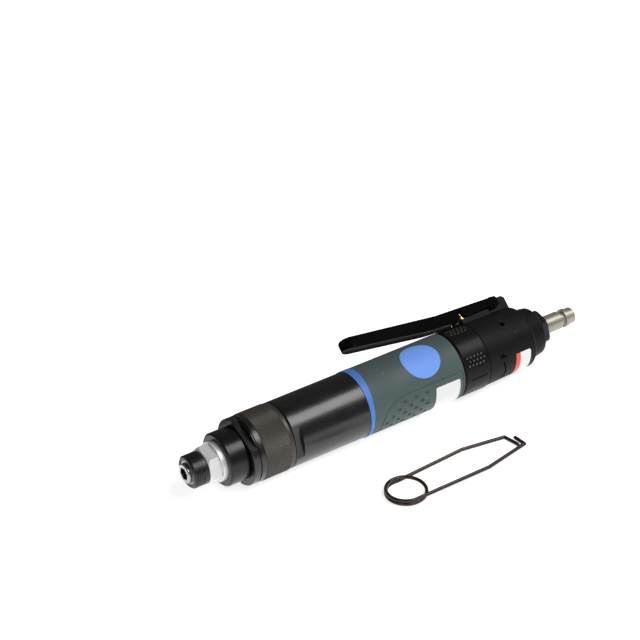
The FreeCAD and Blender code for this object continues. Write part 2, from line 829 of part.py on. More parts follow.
def make_clutch():
    """Spring, thrust bearing and ball clutch between the output carrier and the spindle."""
    mean = (nose_bore + S.adjuster_bore) / 2
    keep("clutch_spring", shaped("clutch_spring", coil(
        adjuster_rear, S.clutch_spring_length, mean, S.clutch_spring_wire, S.clutch_spring_turns,
    )))
    keep("thrust_washer", turned("thrust_washer", tube(
        clutch_spring_rear, washer_rear, nose_bore - 0.1, S.spindle_radius + 1.2,
    )))
    ball_place = (washer_rear + plate_front) / 2
    keep("thrust_balls", ball_ring(
        "thrust_ball", (plate_front - washer_rear) / 2, mean, ball_place, 10,
    ))
    keep("clutch_balls", ball_ring(
        "clutch_ball", S.clutch_ball_radius, S.clutch_ball_circle, clutch_ball_place, 6,
    ))
    driver = turned("clutch_driver", tube(
        driver_front, driver_rear, S.clutch_plate_radius, S.carrier_shaft_radius - 1,
    ))
    seat = pocketed(
        driver, "driver_ball_seat", "YZ_Plane",
        lambda sketch: draw_circle(sketch, S.clutch_ball_radius + S.running_gap, 0, S.clutch_ball_circle),
        S.clutch_ball_sink + S.running_gap, offset=driver_front,
    )
    patterned(driver, seat, "driver_ball_seats", 6)
    keep("clutch_driver", driver)


def make_gears():
    """Two planetary stages in one ring gear."""
    pin_start = 2.0
    keep("ring_gear", shaped("ring_gear", gear(
        S.ring_teeth, output_planet_start - 1, input_planet_end + 1 - output_planet_start + 1, 0,
        ring_gear_radius,
    )))
    keep("carrier_bearing", bearing(
        "carrier_bearing", carrier_bearing_front, carrier_bearing_rear,
        S.carrier_shaft_radius + S.running_gap, carrier_bearing_radius,
    ))
    stub = S.carrier_shaft_radius - 1 - S.seat_gap
    output = turned("output_carrier", [
        (driver_front, 0), (output_carrier_rear, 0), (output_carrier_rear, S.carrier_radius),
        (output_carrier_front, S.carrier_radius), (output_carrier_front, S.carrier_shaft_radius),
        (driver_rear, S.carrier_shaft_radius), (driver_rear, stub), (driver_front, stub),
    ])
    drill_pins(output, "output_pin_hole", output_carrier_rear, pin_start)
    keep("output_carrier", output)
    keep("output_planet_pins", pin_ring(
        "output_planet_pin", S.planet_pin_radius, planet_circle, output_carrier_rear - pin_start,
        S.planet_length + S.planet_gap * 2 + pin_start, 3,
    ))
    carrier = turned("input_carrier", rod(
        input_carrier_front, input_carrier_rear, S.carrier_radius,
    ))
    drill_pins(carrier, "input_pin_hole", input_carrier_rear, pin_start)
    keep("input_carrier", carrier)
    keep("output_sun", shaped("output_sun", gear(
        S.sun_teeth, output_planet_start, input_carrier_front - output_planet_start, 0,
    )))
    keep("input_planet_pins", pin_ring(
        "input_planet_pin", S.planet_pin_radius, planet_circle, input_carrier_rear - pin_start,
        S.planet_length + S.planet_gap * 2 + pin_start, 3,
    ))
    for stage, start in (("output", output_planet_start), ("input", input_planet_start)):
        for number in range(3):
            label = f"{stage}_planet_{number + 1}"
            wheel = gear(S.sun_teeth, start, S.planet_length, S.planet_pin_radius + S.running_gap)
            wheel.translate(FreeCAD.Vector(0, 0, float(planet_circle)))
            wheel.rotate(FreeCAD.Vector(0, 0, 0), FreeCAD.Vector(1, 0, 0), 120 * number)
            keep(label, shaped(label, wheel))


def drill_pins(body, name, face, depth):
    """Drill the three holes that hold a carrier's planet pins."""
    hole = pocketed(
        body, name, "YZ_Plane",
        lambda sketch: draw_circle(sketch, S.planet_pin_radius + S.seat_gap, 0, planet_circle),
        depth + S.seat_gap, offset=face, forward=False,
    )
    patterned(body, hole, f"{name}s", 3)


def make_case():
    """Gear and motor case, blue ring and grip."""
    case = turned("motor_case", [
        (case_front, case_front_bore), (case_front + S.case_front_bore_length, case_front_bore),
        (case_front + S.case_front_bore_length, S.case_bore), (grip_rear - 0.2, S.case_bore),
        (grip_rear - 0.2, S.case_rear_radius), (blue_front, S.case_rear_radius),
        (blue_front, S.case_radius), (case_front + S.edge_break, S.case_radius),
        (case_front, S.case_radius - S.edge_break),
    ])
    wrench_flats(
        case, "case_flat", S.wrench_flats, S.case_radius + 1, case_front + S.wrench_flat_start,
        S.wrench_flat_length, S.wrench_flat_angle,
    )
    keep("motor_case", case)
    slant = S.blue_ring_slant * 2
    ring = turned("blue_ring", tube(
        blue_front + S.seat_gap, grip_front + slant, S.blue_ring_radius, S.case_rear_radius + S.seat_gap,
    ))
    slanted_cut(ring, "blue_ring_rear", grip_front, grip_front + slant * 2)
    keep("blue_ring", ring)
    grip = turned("grip_sleeve", [
        (grip_front - slant, S.case_rear_radius + S.seat_gap), (grip_rear, S.case_rear_radius
         + S.seat_gap), (grip_rear, S.grip_radius - S.edge_break),
        (grip_rear - S.edge_break, S.grip_radius),
        (grip_front - slant, S.grip_radius),
    ])
    slanted_cut(grip, "grip_front", grip_front + S.seat_gap, grip_front - slant * 2)
    keep("grip_sleeve", grip)


def wrench_flats(body, name, across, reach, start, length, angle):
    """Cut two opposite wrench flats."""
    half = across / 2
    for number, turn in enumerate((angle, angle + 180)):
        pocketed(
            body, f"{name}_{number}", "YZ_Plane",
            lambda sketch: draw_outline(
                sketch, [(-reach, half), (reach, half), (reach, reach), (-reach, reach)]
            ),
            length, offset=start, turn=turn,
        )


def slanted_cut(body, name, place, end):
    """Cut a body off at the slanted joint between the blue ring and the grip."""
    reach = S.blue_ring_radius * 1.1
    lean = S.blue_ring_slant / S.grip_radius * reach
    pocketed(
        body, name, "XZ_Plane",
        lambda sketch: draw_outline(sketch, [
            (place - lean, -reach), (end, -reach), (end, reach), (place + lean, reach),
        ]), 0, through=True,
    )


def make_motor():
    """Vane motor: cylinder, rotor, vanes, end plates and bearings."""
    outside = S.case_bore - S.seat_gap
    front = turned("front_end_plate", [
        (motor_front, S.motor_bearing_radius + S.seat_gap),
        (motor_front + S.motor_bearing_length, S.motor_bearing_radius + S.seat_gap),
        (motor_front + S.motor_bearing_length, S.rotor_shaft_radius + 0.2),
        (motor_plate_rear, S.rotor_shaft_radius + 0.2), (motor_plate_rear, outside),
        (motor_front, outside),
    ])
    keep("front_end_plate", front)
    keep("front_bearing", bearing(
        "front_bearing", motor_front, motor_front + S.motor_bearing_length,
        S.rotor_shaft_radius + S.running_gap, S.motor_bearing_radius,
    ))
    rear = turned("rear_end_plate", [
        (motor_rear, S.rotor_shaft_radius + 0.2),
        (rear_plate_rear - S.motor_bearing_length, S.rotor_shaft_radius + 0.2),
        (rear_plate_rear - S.motor_bearing_length, S.motor_bearing_radius + S.seat_gap),
        (rear_plate_rear, S.motor_bearing_radius + S.seat_gap), (rear_plate_rear, outside),
        (motor_rear, outside),
    ])
    keep("rear_end_plate", rear)
    keep("rear_bearing", bearing(
        "rear_bearing", rear_plate_rear - S.motor_bearing_length, rear_plate_rear,
        S.rotor_shaft_radius + S.running_gap, S.motor_bearing_radius,
    ))
    cylinder = turned("motor_cylinder", rod(motor_plate_rear, motor_rear, outside))
    pocketed(
        cylinder, "motor_bore", "YZ_Plane",
        lambda sketch: draw_circle(sketch, S.motor_bore, 0, S.motor_offset),
        S.motor_length, offset=motor_plate_rear,
    )
    pin_circle = (outside + S.motor_bore - S.motor_offset) / 2
    pocketed(
        cylinder, "cylinder_pin_hole", "YZ_Plane",
        lambda sketch: draw_circle(sketch, S.cylinder_pin_radius + S.seat_gap, 0, -pin_circle),
        3, offset=motor_plate_rear,
    )
    pocketed(
        front, "plate_pin_hole", "YZ_Plane",
        lambda sketch: draw_circle(sketch, S.cylinder_pin_radius + S.seat_gap, 0, -pin_circle),
        3, offset=motor_plate_rear, forward=False,
    )
    keep("motor_cylinder", cylinder)
    pin = doc.addObject("Part::Cylinder", "cylinder_pin_bar")
    pin.setExpression("Radius", S.cylinder_pin_radius.text)
    pin.Height = 5.8
    pin.Placement = FreeCAD.Placement(
        FreeCAD.Vector(float(motor_plate_rear) - 2.9, 0, -float(pin_circle)),
        FreeCAD.Rotation(FreeCAD.Vector(0, 1, 0), 90),
    )
    keep("cylinder_pin", pin)
    end = S.free_gap / 3
    rotor = turned("rotor", [
        (input_planet_end + 1, 0), (rear_plate_rear, 0), (rear_plate_rear, S.rotor_shaft_radius),
        (motor_rear - end, S.rotor_shaft_radius), (motor_rear - end, S.rotor_radius),
        (motor_plate_rear + end, S.rotor_radius), (motor_plate_rear + end, S.rotor_shaft_radius),
        (motor_front - 0.5, S.rotor_shaft_radius), (motor_front - 0.5, S.rotor_shaft_radius - 0.6),
        (input_planet_end + 1, S.rotor_shaft_radius - 0.6),
    ])
    half = S.vane_thickness / 2 + 0.05
    foot = S.rotor_radius - S.vane_height - 0.1
    slot = pocketed(
        rotor, "vane_slot", "YZ_Plane",
        lambda sketch: draw_outline(sketch, [
            (-half, foot), (half, foot), (half, S.rotor_radius + 1), (-half, S.rotor_radius + 1),
        ]), S.motor_length, offset=motor_plate_rear,
    )
    patterned(rotor, slot, "vane_slots", int(float(S.vane_count)))
    keep("rotor", rotor)
    vanes = []
    for number in range(int(float(S.vane_count))):
        vane = doc.addObject("Part::Box", f"vane_{number + 1}")
        vane.setExpression("Length", (S.motor_length - end * 2).text)
        vane.setExpression("Width", S.vane_thickness.text)
        vane.setExpression("Height", S.vane_height.text)
        turn = FreeCAD.Rotation(FreeCAD.Vector(1, 0, 0), 360 * number / float(S.vane_count))
        corner = FreeCAD.Vector(
            float(motor_plate_rear + end), -float(S.vane_thickness) / 2, float(S.rotor_radius - S.vane_height)
        )
        vane.Placement = FreeCAD.Placement(turn.multVec(corner), turn)
        vanes.append(vane)
    group = doc.addObject("Part::Compound", "vane_group")
    group.Links = vanes
    keep("vanes", group)
    keep("motor_pinion", shaped("motor_pinion", gear(
        S.sun_teeth, input_planet_start, input_planet_end + 1 - input_planet_start, 0,
    )))


def make_reverse():
    """Reverse ring with the valve tube that it turns, and its detent."""
    bore = S.spigot_radius + S.running_gap
    rear = reverse_rear
    ring = turned("reverse_ring", [
        (reverse_front, bore), (rear, bore), (rear, S.reverse_radius - 0.3),
        (rear - 0.3, S.reverse_radius), (reverse_front + S.reverse_chamfer, S.reverse_radius),
        (reverse_front, S.reverse_radius - S.reverse_chamfer),
    ])
    pin_place = (reverse_front + rear) / 2
    pocketed(
        ring, "reverse_pin_hole", "XY_Plane",
        lambda sketch: draw_circle(sketch, S.reverse_pin_radius + S.seat_gap, pin_place, 0),
        S.spigot_radius + 2.5,
    )
    track = S.detent_circle
    half = S.detent_ball_radius + 0.1
    grooved(ring, "detent_track", tube(
        rear - S.detent_depth, rear, track + half, track - half,
    ))
    keep("reverse_ring", ring)
    valve_front = rear_plate_rear + 2
    valve = turned("reverse_valve", tube(
        valve_front, rear - 2, S.spigot_bore - S.running_gap, S.valve_tube_bore,
    ))
    pocketed(
        valve, "valve_pin_hole", "XY_Plane",
        lambda sketch: draw_circle(sketch, S.reverse_pin_radius + S.seat_gap, pin_place, 0),
        S.spigot_radius + 1,
    )
    keep("reverse_valve", valve)
    pin = doc.addObject("Part::Cylinder", "reverse_pin_bar")
    pin.setExpression("Radius", S.reverse_pin_radius.text)
    pin.setExpression("Height", (S.spigot_radius + 2.3 - S.valve_tube_bore - 0.6).text)
    pin.Placement.Base = FreeCAD.Vector(float(pin_place), 0, float(S.valve_tube_bore + 0.6))
    keep("reverse_pin", pin)
    detent_front = rear - S.detent_depth + 0.05
    ball = doc.addObject("Part::Sphere", "detent_ball_sphere")
    ball.setExpression("Radius", S.detent_ball_radius.text)
    ball.Placement.Base = FreeCAD.Vector(
        float(detent_front + S.detent_ball_radius), 0, -float(S.detent_circle)
    )
    keep("detent_ball", ball)
    spring = coil(
        detent_front + S.detent_ball_radius * 2, S.detent_spring_length, S.detent_ball_radius - 0.5,
        0.6, 4,
    )
    spring.translate(FreeCAD.Vector(0, 0, -float(S.detent_circle)))
    keep("detent_spring", shaped("detent_spring", spring))


def make_rear():
    """Rear housing with the valve chamber, lever boss and hanger holes."""
    thread_end = grip_rear - 0.2
    body = turned("rear_housing", [
        (rear_plate_rear + S.free_gap, S.spigot_bore), (reverse_rear + 0.2, S.spigot_bore),
        (reverse_rear + 0.2, S.valve_tube_bore), (housing_front + 1.5, S.valve_tube_bore),
        (housing_front + 1.5, 0), (housing_rear - S.inlet_depth - 6, 0),
        (housing_rear - S.inlet_depth - 6, S.inlet_passage_radius),
        (housing_rear - S.inlet_depth, S.inlet_passage_radius),
        (housing_rear - S.inlet_depth, S.inlet_radius + S.seat_gap),
        (housing_rear, S.inlet_radius + S.seat_gap), (housing_rear, S.housing_rear_radius),
        (housing_front + 0.4, S.housing_radius), (housing_front, S.housing_radius - 0.4),
        (housing_front, S.spigot_radius), (thread_end, S.spigot_radius),
        (thread_end, S.case_bore - S.seat_gap), (rear_plate_rear + S.free_gap, S.case_bore - S.seat_gap),
    ])
    rear = float(housing_rear)
    rim = float(S.housing_rear_radius)
    rounded(body, "housing_rim", S.housing_round, lambda edge: all(
        abs(point.X - rear) < 0.01 and abs(math.hypot(point.Y, point.Z) - rim) < 0.01
        for point in edge.Vertexes
    ))
    half = S.platform_width / 2
    padded(
        body, "platform", "XY_Plane",
        lambda sketch: draw_outline(sketch, [
            (platform_front, -half), (platform_rear, -half),
            (platform_rear, half), (platform_front, half),
        ]), S.platform_height - S.spigot_radius, offset=S.spigot_radius,
    )
    boss_half = S.boss_width / 2
    front = boss_front
    padded(
        body, "lever_boss", "XZ_Plane",
        lambda sketch: draw_outline(sketch, [
            (front, S.spigot_radius), (boss_rear, S.spigot_radius),
            (boss_rear, S.boss_top - 1.5), (boss_rear - 1.5, S.boss_top),
            (lever_rear + 0.4, S.boss_top), (lever_rear + 0.4, S.boss_top - 0.8),
            (front + 1.6, S.boss_top - 0.8), (front, S.boss_top - 2.4),
        ]), S.boss_width, middle=True,
    )
    pocketed(
        body, "lever_pin_hole", "XZ_Plane",
        lambda sketch: draw_circle(sketch, S.pivot_pin_radius + S.seat_gap, pivot_place, S.pivot_height),
        0, through=True,
    )
    pocketed(
        body, "valve_bush_hole", "XY_Plane",
        lambda sketch: draw_circle(sketch, S.valve_bush_radius + S.seat_gap, stem_place, 0),
        S.platform_height + 5 - S.valve_bush_foot, offset=S.valve_bush_foot, forward=True,
    )
    pocketed(
        body, "valve_chamber", "XY_Plane",
        lambda sketch: draw_circle(sketch, S.valve_chamber_radius, stem_place, 0),
        S.valve_bush_foot - S.valve_chamber_floor, offset=S.valve_chamber_floor, forward=True,
    )
    pin_place = (reverse_front + reverse_rear) / 2
    slot_half = S.reverse_pin_radius + 0.1
    grooved(body, "reverse_pin_slot", tube(
        pin_place - slot_half, pin_place + slot_half, S.spigot_radius + 0.5, S.spigot_bore - 0.5,
    ), angle=S.reverse_pin_slot, towards=90 + S.reverse_turn / 2)
    pocketed(
        body, "detent_hole", "YZ_Plane",
        lambda sketch: draw_circle(
            sketch, S.detent_ball_radius + S.running_gap, 0, -S.detent_circle
        ), S.detent_ball_radius * 2 + S.detent_spring_length - 0.9, offset=housing_front,
    )
    for side, forward in ((-1, False), (1, True)):
        start = (S.housing_radius - S.hanger_hole_depth - 1.2) * side
        pocketed(
            body, f"hanger_hole_{side + 1}", "XZ_Plane",
            lambda sketch: draw_circle(sketch, S.hanger_hole_radius, hanger_place, S.hanger_height),
            S.housing_radius, offset=start, forward=forward,
        )
    keep("rear_housing", body)


def make_throttle():
    """Throttle lever, its pin, and the valve it presses."""
    half = S.lever_width / 2
    lever = new_body("throttle_lever")
    top_slope = (S.lever_bend_top - S.lever_rear_top) / (lever_rear - lever_bend)
    notch_top = S.lever_bend_top - top_slope * (lever_notch_rear - lever_bend) - S.lever_notch_wall
    ear = S.lever_ear_radius
    under = S.lever_low_radius - half
    padded(
        lever, "lever_side", "XZ_Plane",
        lambda sketch: draw_outline(sketch, [
            (lever_tip, under), (lever_tip, S.lever_tip_top),
            (lever_bend, S.lever_bend_top), (lever_rear, S.lever_rear_top),
            (lever_rear, S.pivot_height - ear * 0.6), (pivot_place + ear * 0.5, S.pivot_height - ear),
            (pivot_place - ear * 0.5, S.pivot_height - ear),
            (pivot_place - ear, S.lever_cheek_rear_low), (lever_notch_rear, S.lever_cheek_low),
            (lever_notch_rear - S.lever_notch_slant, notch_top),
            (lever_notch_front + S.lever_notch_slant, notch_top), (lever_notch_front, under),
        ]), S.lever_width, middle=True,
    )
    tip = float(lever_tip)
    rounded(lever, "lever_tip", half - 0.4, lambda edge: all(
        abs(point.X - tip) < 0.01 for point in edge.Vertexes
    ) and abs(edge.Vertexes[0].Y - edge.Vertexes[-1].Y) < 0.01)
    inner = half - S.lever_wall
    slope = (S.lever_tip_top - S.lever_bend_top) / (lever_bend - lever_tip)

    def top_at(place):
        """Give the height of the lever's top at a place along the axis."""
        if place < float(lever_bend):
            return float(S.lever_tip_top) - float(slope) * (place - float(lever_tip))
        return float(S.lever_bend_top) - float(top_slope) * (place - float(lever_bend))

    rounded(lever, "lever_top", S.lever_round, lambda edge: all(
        abs(point.Z - top_at(point.X)) < 0.02 for point in edge.Vertexes
    ) and not (
        abs(edge.Vertexes[0].X - edge.Vertexes[-1].X) < 0.01
        and edge.Vertexes[0].X > (tip + float(lever_bend)) / 2
    ))
    padded(
        lever, "lever_pin_bosses", "XZ_Plane",
        lambda sketch: draw_circle(sketch, S.lever_pin_boss_radius, pivot_place, S.pivot_height),
        S.lever_width + S.lever_pin_boss_height * 2, middle=True,
    )
    low_end = lever_notch_front + S.lever_notch_slant + 0.2
    grooved(lever, "lever_underside", [
        (lever_tip - 1, 0), (low_end, 0), (low_end, S.lever_low_end_radius),
        (lever_low_front, S.lever_low_radius), (lever_tip - 1, S.lever_tip_hollow_radius),
    ])
    skin = S.lever_wall
    low = S.pivot_height - ear - 2
    pocketed(
        lever, "lever_hollow", "XZ_Plane",
        lambda sketch: draw_outline(sketch, [
            (lever_hollow_front, low),
            (lever_hollow_front, S.lever_bend_top - top_slope * (lever_hollow_front - lever_bend) - skin),
            (lever_rear + 2, S.lever_rear_top - skin - 0.1), (lever_rear + 2, low),
        ]), 0, through=True,
    )
    hollow = lever.Tip
    hollow.Type = "Length"
    hollow.Midplane = True
    hollow.setExpression("Length", (inner * 2).text)
    pocketed(
        lever, "pivot_hole", "XZ_Plane",
        lambda sketch: draw_circle(
            sketch, S.pivot_pin_radius + S.running_gap, pivot_place, S.pivot_height
        ), 0, through=True,
    )
    keep("throttle_lever", lever)
    pin = doc.addObject("Part::Cylinder", "lever_pin_bar")
    pin.setExpression("Radius", S.pivot_pin_radius.text)
    pin_length = S.lever_width + S.lever_pin_boss_height * 2 + 0.4
    pin.setExpression("Height", pin_length.text)
    pin.Placement = FreeCAD.Placement(
        FreeCAD.Vector(float(pivot_place), float(pin_length) / 2, float(S.pivot_height)),
        FreeCAD.Rotation(FreeCAD.Vector(1, 0, 0), 90),
    )
    keep("lever_pin", pin)
    bush = upright("valve_bush", [
        (S.stem_radius + S.running_gap, S.valve_bush_foot), (S.valve_bush_radius, S.valve_bush_foot),
        (S.valve_bush_radius, S.platform_height), (S.valve_bush_flange_radius, S.platform_height),
        (S.valve_bush_flange_radius, S.valve_bush_flange_top),
        (S.valve_bush_tip_radius, S.valve_bush_top), (S.stem_radius + S.running_gap, S.valve_bush_top),
    ])
    keep_upright("valve_bush", bush)
    head_top = S.valve_bush_foot - S.seat_gap
    stem = upright("valve_stem", [
        (0, head_top - S.stem_head_height), (S.stem_head_radius, head_top - S.stem_head_height),
        (S.stem_head_radius, head_top), (S.stem_radius, head_top),
        (S.stem_radius, S.stem_top - 0.3), (S.stem_radius - 0.3, S.stem_top), (0, S.stem_top),
    ])
    keep_upright("valve_stem", stem)
    floor = S.valve_chamber_floor
    spring = coil(
        0, head_top - S.stem_head_height - floor, S.valve_spring_radius, S.valve_spring_wire,
        S.valve_spring_turns,
    )
    spring.rotate(FreeCAD.Vector(0, 0, 0), FreeCAD.Vector(0, 1, 0), -90)
    spring.translate(FreeCAD.Vector(float(stem_place), 0, float(floor)))
    keep("valve_spring", shaped("valve_spring", spring))


def upright(name, profile):
    """Turn a profile of (radius, height) pairs about an upright axis."""
    body = new_body(name)
    sketch = new_sketch(body, f"{name}_profile", "XZ_Plane")
    draw_outline(sketch, profile)
    solid = body.newObject("PartDesign::Revolution", f"{name}_turning")
    solid.Profile = sketch
    solid.ReferenceAxis = (sketch, ["V_Axis"])
    solid.Angle = 360
    body.Tip = solid
    return body


def keep_upright(label, body):
    """Stand an upright piece on the valve's place."""
    body.Placement.Base = FreeCAD.Vector(float(stem_place), 0, 0)
    keep(label, body)


def make_inlet():
    """Exhaust collar, inlet bush, screen, seal and air plug."""
    collar_front_place = exhaust_collar_front
    collar_end = collar_front_place + S.exhaust_collar_length
    bush_end = collar_end + S.bush_hexagon_length
    keep("exhaust_collar", turned("exhaust_collar", [
        (collar_front_place, S.inlet_radius + S.seat_gap), (collar_end, S.inlet_radius + S.seat_gap),
        (collar_end, S.exhaust_collar_rear_radius - S.edge_break),
        (collar_end - S.edge_break, S.exhaust_collar_rear_radius),
        (collar_front_place + S.edge_break, S.exhaust_collar_radius),
        (collar_front_place, S.exhaust_collar_radius - S.edge_break),
    ]))
    start = housing_rear - S.inlet_depth + S.screen_thickness + 0.1
    seal = housing_rear - 4
    seal_half = S.o_ring_wire * 0.8
    bush = turned("inlet_bushing", [
        (start, S.bush_bore), (bush_end, S.bush_bore), (bush_end, S.bush_flats * 0.58 - 0.8),
        (bush_end - 0.8, S.bush_flats * 0.58), (collar_end, S.bush_flats * 0.58),
        (collar_end, S.inlet_radius), (seal + seal_half, S.inlet_radius),
        (seal + seal_half, S.inlet_radius - S.o_ring_wire * 1.7),
        (seal - seal_half, S.inlet_radius - S.o_ring_wire * 1.7), (seal - seal_half, S.inlet_radius),
        (start, S.inlet_radius),
    ])
    half = S.bush_flats / 2
    reach = S.bush_flats
    flat = pocketed(
        bush, "bush_flat", "YZ_Plane",
        lambda sketch: draw_outline(sketch, [(-reach, half), (reach, half), (reach, reach), (-reach, reach)]),
        S.bush_hexagon_length, offset=collar_end,
    )
    patterned(bush, flat, "bush_flats", 6)
    keep("inlet_bushing", bush)
    ring = doc.addObject("Part::Torus", "inlet_o_ring_torus")
    ring.setExpression("Radius1", (S.inlet_radius - S.o_ring_wire * 0.82).text)
    ring.setExpression("Radius2", (S.o_ring_wire * 0.78).text)
    ring.Placement = FreeCAD.Placement(
        FreeCAD.Vector(float(seal), 0, 0), FreeCAD.Rotation(FreeCAD.Vector(0, 1, 0), 90)
    )
    keep("inlet_o_ring", ring)
    keep("inlet_screen", turned("inlet_screen", rod(
        housing_rear - S.inlet_depth + 0.05, start - 0.05, S.inlet_radius - 0.1,
    )))
    plug = bush_end + S.seat_gap
    neck = bush_end + S.plug_neck_start
    collar_place = bush_end + S.plug_collar_start
    head = collar_place + S.plug_collar_length
    end = bush_end + S.plug_length
    thread = S.bush_bore - S.seat_gap
    keep("air_plug", turned("air_plug", [
        (bush_end - S.plug_thread_length, S.plug_bore), (end, S.plug_bore), (end, S.plug_head_radius - 0.8),
        (end - 0.8, S.plug_head_radius), (head, S.plug_head_radius), (head, S.plug_collar_radius),
        (collar_place, S.plug_collar_radius), (collar_place, S.plug_neck_radius),
        (neck + 0.6, S.plug_neck_radius), (neck, S.plug_radius), (plug, S.plug_radius),
        (plug, thread), (bush_end - S.plug_thread_length, thread),
    ]))


def make_bail():
    """Hanger bail: one and a half turns of wire with two legs, lying flat in front of the tool.

    The corners of its legs are multiples of the ring's radius, from the ring's middle.
    """
    floor = -float(S.blue_ring_radius)
    radius = float(S.bail_wire) / 2
    ring_radius = float(S.bail_ring_radius)
    centre = FreeCAD.Vector(float(S.bail_ring_x), float(S.bail_ring_y), floor + radius)
    pitch = float(S.bail_wire) * 1.03
    ring_path = Part.makeHelix(pitch, pitch * 1.5, ring_radius)
    section = Part.Wire(
        Part.Circle(FreeCAD.Vector(ring_radius, 0, 0), FreeCAD.Vector(0, 1, 0), radius).toShape()
    )
    ring = Part.Wire(ring_path.Edges).makePipeShell([section], True, True)
    ring.rotate(FreeCAD.Vector(0, 0, 0), FreeCAD.Vector(0, 0, 1), 80)
    ring.translate(centre)
    lift = pitch * 1.5
    turn = math.radians(80)
    start = centre + FreeCAD.Vector(ring_radius * math.cos(turn), ring_radius * math.sin(turn), 0)
    finish = centre + FreeCAD.Vector(
        -ring_radius * math.cos(turn), -ring_radius * math.sin(turn), lift
    )
    legs = [
        [start, (4.29, 1.22, 0), (6.65, 0.83, 0), (6.84, -0.02, 0)],
        [finish, (4.44, -0.83, 0.15), (7.08, -0.26, 0.075), (7.01, 0.415, 0.075)],
    ]
    shape = ring
    for leg in legs:
        points = [leg[0]] + [centre + FreeCAD.Vector(*turn_point) * ring_radius for turn_point in leg[1:]]
        for begin, stop in zip(points, points[1:]):
            run = stop - begin
            shape = shape.fuse(Part.makeCylinder(radius, run.Length, begin, run))
        for point in points:
            shape = shape.fuse(Part.makeSphere(radius, point))
    keep("suspension_bail", shaped("suspension_bail", shape.removeSplitter()), AS_DRAWN)


def check_and_write():
    """Stop on any failed object or shape, then write one file for each piece."""
    doc.recompute()
    for item in doc.Objects:
        if "Invalid" in item.State or "Error" in item.State:
            raise RuntimeError(f"{item.Label} failed: {item.State}")
    os.makedirs("parts", exist_ok=True)
    for label, item in nodes:
        shape = item.Shape
        if shape.isNull() or not shape.isValid() or not shape.Solids:
            raise RuntimeError(f"{label} has no valid solid")
        shape.exportStep(f"parts/{label}.step")
    print(len(nodes), "pieces written")


make_spindle()
make_bit_holder()
make_nose()
make_clutch()
make_gears()
make_case()
make_motor()
make_reverse()
make_rear()
make_throttle()
make_inlet()
make_bail()
check_and_write()
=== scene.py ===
"""Looks of a straight pneumatic screwdriver that lies on its side, with its wire hanger in front of it.

Lengths in this file are millimetres unless a name says otherwise. A place on the tool is given by x, measured
back from the mouth of the bit socket, and by an angle about the tool's axis in degrees, zero at the top and
growing towards the throttle lever.
"""

import json
import logging
import math
from dataclasses import dataclass, field, replace
from enum import Enum
from typing import Iterable

import bmesh
import bpy
from mathutils import Matrix, Vector

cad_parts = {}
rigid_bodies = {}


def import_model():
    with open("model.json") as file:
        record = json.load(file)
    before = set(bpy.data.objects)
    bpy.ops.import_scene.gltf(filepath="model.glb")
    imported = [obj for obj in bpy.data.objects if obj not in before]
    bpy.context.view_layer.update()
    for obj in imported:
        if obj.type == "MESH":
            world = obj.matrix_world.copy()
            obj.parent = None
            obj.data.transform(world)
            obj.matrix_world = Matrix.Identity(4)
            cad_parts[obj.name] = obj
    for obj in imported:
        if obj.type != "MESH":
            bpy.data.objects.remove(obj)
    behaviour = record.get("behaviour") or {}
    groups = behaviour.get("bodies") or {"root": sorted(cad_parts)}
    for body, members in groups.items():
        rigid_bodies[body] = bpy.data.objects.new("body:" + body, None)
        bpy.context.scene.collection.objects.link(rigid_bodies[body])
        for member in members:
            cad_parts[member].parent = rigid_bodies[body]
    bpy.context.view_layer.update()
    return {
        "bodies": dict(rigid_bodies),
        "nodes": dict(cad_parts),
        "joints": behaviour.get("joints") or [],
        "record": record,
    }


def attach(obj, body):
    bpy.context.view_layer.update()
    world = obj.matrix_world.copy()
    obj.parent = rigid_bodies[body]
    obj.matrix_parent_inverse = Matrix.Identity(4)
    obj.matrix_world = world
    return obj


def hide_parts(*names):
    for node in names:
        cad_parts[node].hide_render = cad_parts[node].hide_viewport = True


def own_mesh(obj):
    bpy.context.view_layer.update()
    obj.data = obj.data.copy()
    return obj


BMesh = bmesh.types.BMesh
NodeTree = bpy.types.NodeTree
Colour = tuple[float, float, float]
Place = tuple[float, float, float]
Line = tuple[tuple[float, float], ...]

LOG = logging.getLogger("screwdriver")
MM = 0.001
ROLL = 50.0  # the angle at which the lever stands, as the tool lies
STEM_PLACE = 187.6  # the valve stem's x
STRIP = 0.7  # the width of the strips that a flat piece is cut into before it is bent
MARK_HEIGHT = 0.03  # how far a strip of painted groove shade stands off its surface


class Body(Enum):
    """The moving bodies that carry the pieces made here."""

    HOUSING = "housing"
    COLLAR = "torque_collar"
    RING = "reverse_ring"
    LEVER = "throttle_lever"
    SPINDLE = "spindle"


# ---- shader groups


def new_group(name: str, inputs: dict[str, float], outputs: Iterable[str]) -> tuple:
    """Start a shader node group.

    Args:
        name: The group's name.
        inputs: Number sockets with their default values.
        outputs: Number sockets that the group puts out.

    Returns:
        The tree, its input node and its output node.
    """
    tree = bpy.data.node_groups.new(name, "ShaderNodeTree")
    for label, value in inputs.items():
        socket = tree.interface.new_socket(label, in_out="INPUT", socket_type="NodeSocketFloat")
        socket.default_value = value
    for label in outputs:
        tree.interface.new_socket(label, in_out="OUTPUT", socket_type="NodeSocketFloat")
    return tree, tree.nodes.new("NodeGroupInput"), tree.nodes.new("NodeGroupOutput")


